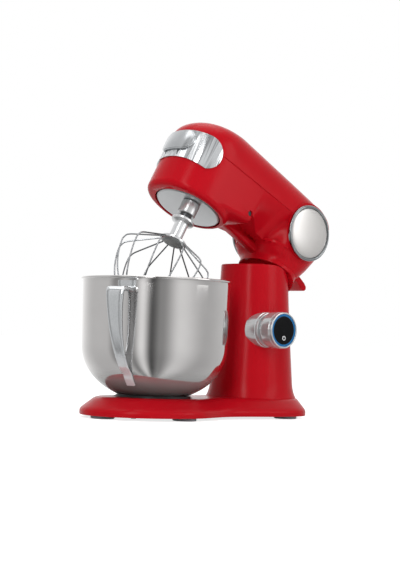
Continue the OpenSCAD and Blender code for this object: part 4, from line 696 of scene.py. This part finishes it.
for piece in (barrel, neck, web):
    combined(housing, piece, "UNION")


def cap_pads(low, high):
    """The two flat pads under the side caps, between two levels."""
    pads = []
    for s in (-1, 1):
        pad = rod((CAP_X, s * (HALF_W - 2.2), CAP_Z), CAP_R, 4.4, sides=128)
        combined(pad, block((0, -90, low), (200, 90, high)), "INTERSECT")
        pads.append(pad)
    return pads


# The arm that the hinge pin goes through
arm = [block((HINGE_X - 24, -18, HINGE_Z), (HINGE_X + 24, 18, BELLY_Z + 3)),
       rod((HINGE_X, 0, HINGE_Z), 24, 36)]
for piece in cap_pads(200, SEAM_Z) + arm:
    combined(housing, piece, "UNION")
# The hollow: round in the nose barrel, then square, then along the waist and into the neck. The side
# screws' thin bore goes right across
screw_x, screw_y, screw_z = SIDE_SCREW
waist_hollow = [housing_ring(z, 3.9, 50) for z in (260.6, 266, 274, 282, 290, 298)]
waist_hollow.append([(x, y, 310) for x, y, _ in waist_hollow[-1]])
neck_side = [(147, 38), (152, 42.6), (160, 44), (205, 40), (214, 30), (216, 14)]
neck_hollow = [(BOWL_X + x, y) for x, y in neck_side + [(x, -y) for x, y in neck_side[::-1]]]
hollows = [rod((BOWL_X, 0, 282), 57.5, 100, "Z"), rod((BOWL_X, 0, 230), 52.0, 10, "Z"),
           block((BOWL_X, -53.5, 252.6), (BOWL_X + 72.6, 53.5, 310)),
           rod((screw_x, 0, screw_z), 1.85, 130), grown("waist_hollow", waist_hollow),
           prism(neck_hollow, 251.5, 310)]
# Openings for the hinge pin's bushes, the lever and its finger, the hub's socket and the screws' heads
LEVER_X, LEVER_Z = HINGE_X + 43, BELLY_Z + 12
openings = [rod((HINGE_X, 0, HINGE_Z), 9.05, 60),
            block((LEVER_X - 18, -18.5, LEVER_Z - 10.5), (LEVER_X + 62, 18.5, LEVER_Z + 11)),
            block((LEVER_X - 19, 23, LEVER_Z - 60), (LEVER_X - 4, 31, LEVER_Z)),
            rod((BOWL_X - 60, 0, SEAM_Z + 1), 15.05, 60, "X")]
openings += [rod((screw_x, s * screw_y, screw_z), 4, 10) for s in (-1, 1)]
for cut in hollows + openings:
    combined(housing, cut, "DIFFERENCE")
softened(housing, 0.5, 3)


def seam_lifted(piece):
    """Lifts the seam towards the rear, and what is near it by less."""
    for vert in piece.data.vertices:
        x, z = vert.co.x / MM - BOWL_X, vert.co.z / MM
        near = (z - WAIST_Z) / (SEAM_Z - WAIST_Z) if z < SEAM_Z else (TOP_Z - z) / (TOP_Z - SEAM_Z)
        if near > 0 and x > -10:
            vert.co.z += SEAM_RISE * MM * near * min(1.0, (x + 10) / 150)
    piece.data.update()


seam_lifted(housing)
housing.data.transform(TILT)
dress(housing, red_enamel)
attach(housing, "head")
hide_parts("head_housing")
# Blackened steel: small dark heads with a dull shine
dress(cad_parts["head_screws"], finish("blackened_screw", "#2E2F31", "#3A3B3D", metallic=0.8,
                                            roughness=0.4, grain=0.3, depth=0.01, patch=2))


# ---------------------------------------------------------------- head top cover
# The upper half of the head is a thin dome that meets the housing at a fine seam and falls away
# round the nose. It is enamelled like the rest.
COVER_H = TOP_Z - SEAM_Z


def cover_ring(share, wall=0.0, z=None, drawn=0.0):
    """Outline of the cover at a share of its height, moved in by the wall."""
    rise = COVER_H - wall
    # The nose is drawn on a height of 81: upright to 24, rounded back to 71.5, then flat over the top
    h = share * 81
    b = (HALF_W - wall) * max(0.0, 1 - min(share, 0.99995) ** 2.5) ** (1 / 2.5) - drawn
    a = NOSE / HALF_W * b
    if h <= 24:
        nose = -NOSE
    elif h <= 71.5:
        nose = 5 - (NOSE + 5) * math.sqrt(1 - ((h - 24) / 50) ** 2)
    else:
        nose = 5 - (NOSE + 5) * math.sqrt(1 - (47.5 / 50) ** 2) + 165 * ((min(h, 80) - 71.5) / 8.5) ** 1.6
    nose += wall
    rear = REAR - (0 if h <= 31 else 26 * ((h - 31) / 49.5) ** 2.5) - wall
    rear_a = 62 / HALF_W * b
    level = SEAM_Z + rise * share if z is None else z
    front_cx, rear_cx = nose + a, rear - rear_a
    along = [front_cx + (rear_cx - front_cx) * k / 12 for k in range(1, 12)]
    points = front_arc(front_cx, a, b, 40) + [(x, -b) for x in along]
    points += rear_arc(rear_cx, rear_a, b, 40) + [(x, b) for x in along[::-1]]
    return [(BOWL_X + x, y, level) for x, y in points]


# The rings lie closer together towards the top, where the dome curves over
shares = [0.012, 0.1, 0.2, 0.3, 0.37, 0.44, 0.5, 0.56, 0.62, 0.68, 0.73, 0.78, 0.82, 0.86, 0.89, 0.915,
          0.935, 0.952, 0.966, 0.977, 0.986, 0.993, 0.9975, 0.9995]
seam_edge = [cover_ring(0.004, z=SEAM_Z + 0.3, drawn=0.7), cover_ring(0.006, z=SEAM_Z + 0.65, drawn=0.2)]
cover = grown("top_cover", seam_edge + [cover_ring(s) for s in shares])
for pad in cap_pads(SEAM_Z + 0.3, 400):
    combined(cover, pad, "UNION")
COVER_WALL = 3.5
inner_shares = [0.2, 0.35, 0.5, 0.6, 0.7, 0.79, 0.87, 0.925, 0.96, 0.985, 0.994]
combined(cover, grown("inner", [cover_ring(0.004, COVER_WALL, z=SEAM_Z - 1)]
                      + [cover_ring(s, COVER_WALL) for s in inner_shares]), "DIFFERENCE")
combined(cover, rod((BOWL_X - 60, 0, SEAM_Z + 1), 15.05, 60, "X"), "DIFFERENCE")
softened(cover, 0)
seam_lifted(cover)
cover.data.transform(TILT)
dress(cover, red_enamel)
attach(cover, "head")
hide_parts("head_top_cover")


# ---------------------------------------------------------------- nose band and hub cover
# A chromed band wraps the nose over the seam, with round ends. Its middle carries the cover of the
# attachment hub, a small bowed plate with a fine rim line, left bare.
BAND_LOW, BAND_HIGH, BAND_BACK = 264.0, 318.5, -24.0
HUB_Z = 300.0


def nose_plan(inner, outer, steps=72):
    """Plan of a shell round the nose, between two distances out from it."""
    runs = [[(BOWL_X + x, y) for x, y in front_arc(0, NOSE + d, HALF_W + d, steps)] for d in (outer, inner)]
    return runs[0] + runs[1][::-1]


band = prism(nose_plan(0.15, 1.75), BAND_LOW, BAND_HIGH)
band.name = "nose_band_strip"
radius = (BAND_HIGH - BAND_LOW) / 2
shape = rod((BOWL_X + BAND_BACK - radius, 0, BAND_LOW + radius), radius, 200, sides=128)
combined(shape, block((BOWL_X - 150, -99, BAND_LOW), (BOWL_X + BAND_BACK - radius, 99, BAND_HIGH)), "UNION")
combined(band, shape, "INTERSECT")
# Its lower edge rises towards the front
under = prism([(BOWL_X - 90, 262), (BOWL_X - 14, 262), (BOWL_X - 90, 275.5)], -99, 99, "Y")
combined(band, under, "DIFFERENCE")
combined(band, rod((BOWL_X - 60, 0, HUB_Z), 15.05, 60, "X"), "DIFFERENCE")
softened(band, 0.5, 3, angle=50)
band.data.transform(TILT)
# Satin chrome: a soft mirror on a bright strip
dress(band, finish("satin_chrome_strip", "#C9CBCD", "#BEC0C2", metallic=1.0, roughness=0.17, grain=0.5,
                   depth=0.0015, patch=20, spread=0.02))
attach(band, "head")
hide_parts("nose_band")


def plate_on_nose(name, inner, outer, half_w, half_h):
    """A plate with round ends that follows the nose."""
    piece = prism(nose_plan(inner, outer), HUB_Z - 40, HUB_Z + 40)
    piece.name = name
    end = half_w - half_h
    round_end = arc(end, 0, half_h, -90, 90, 48)
    rim = round_end + [(-y, -z) for y, z in round_end]
    outline = [[(x, y, HUB_Z + z) for y, z in rim] for x in (BOWL_X - 100, BOWL_X)]
    combined(piece, grown("outline", outline), "INTERSECT")
    return piece


hub_plate = plate_on_nose("hub_cover_plate", 2.05, 3.9, 34, 16)
softened(hub_plate, 0.5, 3, angle=50)
face = plate_on_nose("hub_cover_face", 3.0, 4.55, 32.3, 14.3)
softened(face, 0.5, 3, angle=50)
combined(hub_plate, face, "UNION")
only(hub_plate)
bpy.ops.object.shade_smooth_by_angle(angle=math.radians(35))
hub_plate.data.transform(TILT)
# Brushed aluminium: fine lines across the nose
dress(hub_plate, finish("brushed_hub_cover", "#C4C6C8", "#B6B9BB", metallic=1.0, roughness=0.2,
                        grain=0.25, depth=0.002, stretch=(1, 0.05, 1), spread=0.04))
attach(hub_plate, "hub_cover")
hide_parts("hub_cover")


# ---------------------------------------------------------------- side caps
# A shallow dome of satin silver in a chrome ring covers each side of the head, above the hinge. Both
# sit on the flat pads of the housing and the cover.
DOME_R, DOME_EDGE, DOME_RISE = 38.2, 2.4, 3.4
# Satin anodised aluminium: a pale pearly grey with a wide highlight
pearl = finish("satin_silver_cap", "#D6D4D2", "#CBC8C5", metallic=0.6, roughness=0.3, grain=0.3, depth=0.002,
               patch=30, spread=0.03)
# Chrome plate on a narrow ring: a clear mirror, darker than the caps
ring_chrome = finish("polished_ring_chrome", "#9C9FA1", "#8F9294", metallic=1.0, roughness=0.12, grain=0.5,
                     depth=0.001, patch=12, spread=0.02)
dome = [(DOME_R * math.cos(t), DOME_EDGE + DOME_RISE * math.sin(t))
        for t in (math.radians(6 * k) for k in range(15))]
trim = ([(38.5, 0), (CAP_R, 0), (CAP_R, 1.6)] + arc(41.6, 2.6, 1.4, 0, 60)
        + arc(40.6, 3.4, 1.2, 60, 150) + [(38.7, 3.4), (38.5, 2.6), (38.5, 0)])
for s, side in ((-1, "left"), (1, "right")):
    turn = Matrix.Rotation(-s * math.pi / 2, 4, "X")
    on_pad = Matrix.Translation((CAP_X * MM, s * (HALF_W + 0.05) * MM, CAP_Z * MM)) @ turn
    cap = turned("side_cap_dome_" + side,
                 [(0.0, 0), (38.0, 0), (DOME_R, 0.4)] + dome + [(0.0, DOME_EDGE + DOME_RISE)])
    ring = turned("side_cap_trim_" + side, trim)
    for piece, material, node, slot in ((cap, pearl, "side_cap_", "silver_cap"),
                                        (ring, ring_chrome, "cap_ring_", "polished_chrome")):
        piece.data.transform(TILT @ on_pad)
        softened(piece, 0, smooth=40)
        dress(piece, material)
        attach(piece, "head")
        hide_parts(node + side)


# ---------------------------------------------------------------- drive inside the head
# A motor drives a belt to the pinion shaft. The main gear on the carrier shaft turns the planet
# carrier, and the planet gear rolls in the ring gear of the cast case.
# As cast: grey and rough, with a fine orange-peel skin
cast = finish("as_cast_aluminium", "#A9ABAB", "#989A9A", metallic=0.9, roughness=0.5, grain=0.6, depth=0.04,
              patch=8)
# Cut and oiled steel: mid grey and half bright
gear_steel = finish("cut_gear_steel", "#9A9C9E", "#85878A", metallic=1.0, roughness=0.3, grain=0.2,
                    depth=0.004)
for name in ("gear_case", "gear_case_lid", "motor_bracket", "hub_socket"):
    dress(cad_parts[name], cast)
for name in ("ring_gear", "main_gear", "planet_gear", "pinion_shaft", "hub_drive"):
    dress(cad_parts[name], gear_steel)
dress(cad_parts["carrier_shaft"], ground_steel)
# Rubber: black and quite matt
dress(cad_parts["drive_belt"], finish("ribbed_belt_rubber", "#1C1C1D", "#252526", roughness=0.75,
                                           grain=0.7, depth=0.05))
# Drawn steel: darker and smoother than the castings
dress(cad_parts["motor_can"], finish("rolled_motor_steel", "#7F8386", "#6F7376", metallic=0.9,
                                          roughness=0.35, grain=0.5, depth=0.006))
# Lacquered copper wire: reddish brown, with a coarse upright grain in place of the single turns
dress(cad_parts["motor_rotor"], finish("enamelled_windings", "#9C5A2C", "#7E451F", metallic=0.6,
                                            roughness=0.35, grain=0.5, depth=0.08, stretch=(1, 1, 0.2)))
# Moulded plastic: plain dark grey
dress(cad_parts["motor_fan"], finish("moulded_fan", "#3B3D40", "#333538", roughness=0.5, grain=0.6,
                                          depth=0.02))
# Die-cast metal: pale grey, smoother than the case
pulley = finish("die_cast_pulley", "#A0A3A4", "#8D9091", metallic=0.9, roughness=0.4, grain=0.4, depth=0.01)
for name in ("motor_pulley", "drive_pulley"):
    dress(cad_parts[name], pulley)


# ---------------------------------------------------------------- planet carrier and beater shaft
# The round satin cover under the nose turns with the planet carrier. The beater shaft comes down
# through it in a sleeve, with a cross pin and a light spring above the beater.
# The beater shaft stands off the bowl's axis, at rest on the dial's side
PLANET_R, PLANET_TURN = 24, math.radians(240)
PLANET_X, PLANET_Y = BOWL_X + PLANET_R * math.cos(PLANET_TURN), PLANET_R * math.sin(PLANET_TURN)
# Satin aluminium: an even pale grey without a mirror
dress(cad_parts["planetary_cover"], finish("satin_aluminium", "#C2C3C4", "#B5B7B8", metallic=0.9,
                                                roughness=0.34, grain=0.3, depth=0.003, patch=30))
# Ground steel: bright, with a soft sheen round the shaft
dress(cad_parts["beater_shaft"], finish("ground_beater_steel", "#D0D1D2", "#C0C1C2", metallic=0.8,
                                             roughness=0.3, grain=0.25, depth=0.002, patch=6))


def round_wire(name, radius):
    """An empty curve of a round section, in millimetres."""
    curve = bpy.data.curves.new(name, "CURVE")
    curve.dimensions = "3D"
    curve.bevel_depth = radius * MM
    curve.bevel_resolution = 4
    curve.use_fill_caps = True
    return curve


def wire_piece(curve):
    """The mesh of a wire drawn with the head level, tilted back with it."""
    piece = bpy.data.objects.new(curve.name, curve)
    bpy.context.collection.objects.link(piece)
    only(piece)
    bpy.ops.object.convert(target="MESH")
    piece = bpy.context.object
    piece.data.transform(TILT)
    bpy.ops.object.shade_smooth()
    return piece


def coil(name, centre, radius, wire, low, high, turns, axis="Z"):
    """A round wire wound into an open spring with capped ends, along an axis, in millimetres."""
    steps = 36 * turns
    curve = round_wire(name, wire)
    spline = curve.splines.new("POLY")
    spline.points.add(steps)
    for i, point in enumerate(spline.points):
        t = 2 * math.pi * turns * i / steps
        across, rise = Vector((math.cos(t), math.sin(t))) * radius, low + (high - low) * i / steps
        place = (across[0], across[1], rise) if axis == "Z" else (across[0], rise, across[1])
        point.co = [*(Vector(centre) + Vector(place)) * MM, 1.0]
    return wire_piece(curve)


# Spring wire: drawn dark grey steel with a dull shine
spring_steel = finish("spring_wire", "#77797C", "#686A6D", metallic=1.0, roughness=0.3, grain=0.2,
                      depth=0.003)
spring = coil("beater_spring", (PLANET_X, PLANET_Y, 0), 8.4, 0.9, 198.2, 203.8, 3)
dress(spring, spring_steel)
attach(spring, "planet")
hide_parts("shaft_spring")
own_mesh(spring)


# ---------------------------------------------------------------- whisk
# Six loops of stainless wire spring from a round plate on the collar, which slips over the beater
# shaft and locks on its cross pin.
PLATE_Z, LOWEST, WHISK_R = 162.0, 38.0, 69.0
WIRE_R, LOOPS = 1.1, 6


def wire_side(low):
    """One side of a loop as radius and height: straight out to a knee, then down to its lowest point."""
    knee = PLATE_Z - 34
    side = [(17.0, PLATE_Z - 2.2), (32.0, PLATE_Z - 10.2), (47.0, PLATE_Z - 18.2), (59.0, PLATE_Z - 24.6),
            (WHISK_R - 6, knee + 6.8), (WHISK_R - 3, knee + 4.2), (WHISK_R - 0.9, knee - 0.5)]
    for k in range(7):
        t = math.radians(14 * k)
        side.append((WHISK_R * math.cos(t) ** 0.75, knee - 6 - (knee - 6 - low)
                     * math.sin(t) ** 1.25 / math.sin(math.radians(84)) ** 1.25))
    return side


curve = round_wire("whisk_loops", WIRE_R)
for i in range(LOOPS):
    # Each loop is 2.6 mm shorter than the last, so that they cross freely at the bottom
    side = wire_side(LOWEST + 2.6 * i)
    turn = Matrix.Rotation(math.radians(180 / LOOPS * i + 10), 3, "Z")
    path = smooth_path([(r, 0, z) for r, z in side] + [(-r, 0, z) for r, z in side[::-1]], 6)
    spline = curve.splines.new("POLY")
    spline.points.add(len(path) - 1)
    for point, place in zip(spline.points, path):
        point.co = [*(Vector((PLANET_X, PLANET_Y, 0)) + turn @ place) * MM, 1.0]
whisk = wire_piece(curve)
# Drawn stainless wire: polished, and darker than the bowl, so that thin wires stand out against white
dress(whisk, finish("drawn_stainless_wire", "#96989A", "#888A8C", metallic=1.0, roughness=0.14, grain=0.3,
                    depth=0.002, patch=10))
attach(whisk, "whisk")
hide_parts("whisk_wires")
# Turned aluminium: pale and satin
fitting = finish("turned_whisk_fitting", "#E4E5E6", "#D8D9DA", metallic=0.8, roughness=0.3, grain=0.3,
                 depth=0.002, patch=8)
for name in ("whisk_collar", "whisk_plate"):
    dress(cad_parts[name], fitting)


# ---------------------------------------------------------------- release lever
# A cast red lever at the back of the head turns on a pin, held down by a small torsion spring. Its
# finger hangs down through the neck to the strike.
outline = [(-9, 3), (2, 6), (12, 5), (26, 2), (32, -1), (34, -5), (32, -9), (25, -9.5), (12, -5), (2, -6),
           (-9, -3)]
lever = prism([(LEVER_X + x, LEVER_Z + z) for x, z in outline], -17.5, 17.5, "Y")
lever.name = "lever_casting"
softened(lever, 1.6, 4, angle=40)
# The arm and its finger, and the bore and pocket for the pin and the spring
combined(lever, block((LEVER_X - 13, -17, LEVER_Z - 3), (LEVER_X - 5.5, 30, LEVER_Z + 3)), "UNION")
combined(lever, block((LEVER_X - 12.5, 24, LEVER_Z - 22.5), (LEVER_X - 6.5, 30, LEVER_Z + 0.5)), "UNION")
combined(lever, rod((LEVER_X, 0, LEVER_Z), 2.56, 60), "DIFFERENCE")
combined(lever, rod((LEVER_X, -13.5, LEVER_Z), 6.2, 8), "DIFFERENCE")
only(lever)
bpy.ops.object.shade_smooth_by_angle(angle=math.radians(40))
lever.data.transform(TILT)
dress(lever, red_enamel)
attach(lever, "lever")
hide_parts("release_lever")
return_spring = coil("lever_return_spring", (LEVER_X, 0, LEVER_Z), 4.2, 0.6, -16.1, -10.7, 4, "Y")
dress(return_spring, spring_steel)
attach(return_spring, "lever")
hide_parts("lever_spring")


# ---------------------------------------------------------------- studio
# The camera sees a white floor and a white background, lit by three soft lamps. Reflections show a
# grey room instead, white behind the mixer, whose soft upright bands bring out the bowl's roundness.
scene = bpy.context.scene
scene.view_settings.view_transform = "Standard"
# Brightness of that room by its bearing, in degrees from +X towards +Y: a tall strip at -150, a broad
# panel at -90, dark cards at -165, -135 and 165, and the white wall at 60
BANDS = [(-180, 0.6), (-165, 0.3), (-150, 0.9), (-135, 0.1), (-120, 0.3), (-90, 0.8), (-45, 0.5), (0, 0.6),
         (60, 1.0), (120, 0.6), (150, 0.6), (165, 0.3), (180, 0.6)]
world = bpy.data.worlds.new("white_studio")
scene.world = world
world.use_nodes = True
tree = world.node_tree
tree.nodes.clear()
# The bands are laid round by the direction of the ray, and brighten a little with its height
path = add_node(tree, "ShaderNodeLightPath")
way = add_node(tree, "ShaderNodeTexCoord").outputs["Generated"]
axes = add_node(tree, "ShaderNodeSeparateXYZ", {0: way})
turn = add_node(tree, "ShaderNodeMath", {0: axes.outputs[1], 1: axes.outputs[0]}, operation="ARCTAN2")
share = add_node(tree, "ShaderNodeMapRange",
                 {"Value": turn.outputs[0], "From Min": -math.pi, "From Max": math.pi})
bands = add_node(tree, "ShaderNodeValToRGB", {"Fac": share.outputs[0]})
bands.color_ramp.interpolation = "EASE"
stops = bands.color_ramp.elements
for k, (degrees, level) in enumerate(BANDS):
    stop = stops[k] if k < 2 else stops.new(1.0)
    stop.position = (degrees + 180) / 360
    stop.color = (level, level, level, 1)
tilt = add_node(tree, "ShaderNodeMapRange", {"Value": axes.outputs[2], "From Min": -0.5, "From Max": 0.8,
                                             "To Min": 1.02, "To Max": 1.36})
studio = add_node(tree, "ShaderNodeBackground", {"Color": bands.outputs[0], "Strength": tilt.outputs[0]})
fill = add_node(tree, "ShaderNodeBackground", {"Color": linear("#FFFFFF"), "Strength": 0.30})
shown = add_node(tree, "ShaderNodeBackground", {"Color": linear("#FFFFFF"), "Strength": 1.0})
mirrored = add_node(tree, "ShaderNodeMixShader", {0: path.outputs["Is Glossy Ray"], 1: fill.outputs[0],
                                                  2: studio.outputs[0]})
seen = add_node(tree, "ShaderNodeMath",
                {0: path.outputs["Is Camera Ray"], 1: path.outputs["Is Transmission Ray"]},
                operation="MAXIMUM")
mixed = add_node(tree, "ShaderNodeMixShader",
                 {0: seen.outputs[0], 1: mirrored.outputs[0], 2: shown.outputs[0]})
add_node(tree, "ShaderNodeOutputWorld", {"Surface": mixed.outputs[0]})


def soft_light(name, place, aim, size, power):
    """A white rectangular lamp at a place in metres, turned towards its aim."""
    lamp = bpy.data.lights.new(name, "AREA")
    lamp.shape = "RECTANGLE"
    lamp.size, lamp.size_y = size
    lamp.energy = power
    thing = bpy.data.objects.new(name, lamp)
    bpy.context.collection.objects.link(thing)
    facing = (Vector(aim) - Vector(place)).to_track_quat("-Z", "Y").to_matrix().to_4x4()
    thing.matrix_world = Matrix.Translation(place) @ facing


MIDDLE = (0, 0, 0.2)
soft_light("key_strip", (-1.3, -1.0, 1.0), MIDDLE, (0.35, 1.6), 14)
soft_light("fill_panel", (1.0, -1.6, 0.9), MIDDLE, (0.8, 1.4), 8)
soft_light("top_panel", (0, 0.1, 1.7), MIDDLE, (1.6, 1.2), 9)

bpy.ops.mesh.primitive_plane_add(size=60.0, location=(0, 0, -0.0005))
floor = bpy.context.object
floor.name = "studio_floor"
# Matt white paint: it shows the mixer's shadow, and glows to the camera so that it stays white
floor_paint = bpy.data.materials.new("white_floor_paint")
floor_paint.use_nodes = True
tree = floor_paint.node_tree
tree.nodes.clear()
place = add_node(tree, "ShaderNodeTexCoord")
speck = add_node(tree, "ShaderNodeTexNoise",
                 {"Vector": place.outputs["Object"], "Scale": 40.0, "Detail": 3.0})
paint = add_node(tree, "ShaderNodeMix", {0: speck.outputs["Fac"], 6: linear("#FAFAFA"), 7: linear("#FFFFFF")},
                 data_type="RGBA")
matt = add_node(tree, "ShaderNodeBsdfDiffuse", {"Color": paint.outputs[2]})
path = add_node(tree, "ShaderNodeLightPath")
glow = add_node(tree, "ShaderNodeEmission", {"Color": linear("#FFFFFF"), "Strength": 0.75})
both = add_node(tree, "ShaderNodeAddShader", {0: matt.outputs[0], 1: glow.outputs[0]})
only_seen = add_node(tree, "ShaderNodeMixShader", {0: path.outputs["Is Camera Ray"], 1: matt.outputs[0],
                                                   2: both.outputs[0]})
# Reflections look through the floor, so that the studio's upright bands run on down the bowl's walls
unseen = add_node(tree, "ShaderNodeBsdfTransparent")
in_metal = add_node(tree, "ShaderNodeMixShader", {0: path.outputs["Is Glossy Ray"], 1: only_seen.outputs[0],
                                                  2: unseen.outputs[0]})
add_node(tree, "ShaderNodeOutputMaterial", {"Surface": in_metal.outputs[0]})
floor.data.materials.append(floor_paint)


# ---------------------------------------------------------------- camera
# The camera stands low, in front of the mixer and on the dial's side, below the head. It looks
# slightly up, leans by a small roll, and has a long lens.
CAMERA_PLACE = (-1.3707, -1.54772, 0.1167)
VIEW = (0.65890, 0.75113, 0.04076)
ROLL, LENS = math.radians(1.87), 88.61
yaw = math.atan2(VIEW[0], VIEW[1])
forward = Vector(VIEW).normalized()
right = Vector((math.cos(yaw), -math.sin(yaw), 0))
above = right.cross(forward)
right, above = (right * math.cos(ROLL) + above * math.sin(ROLL),
                above * math.cos(ROLL) - right * math.sin(ROLL))
lens = bpy.data.cameras.new("photo_camera")
lens.lens = LENS
camera = bpy.data.objects.new("photo_camera", lens)
bpy.context.collection.objects.link(camera)
turn = Matrix((right, above, -forward)).transposed().to_4x4()
camera.matrix_world = Matrix.Translation(CAMERA_PLACE) @ turn
scene.camera = camera
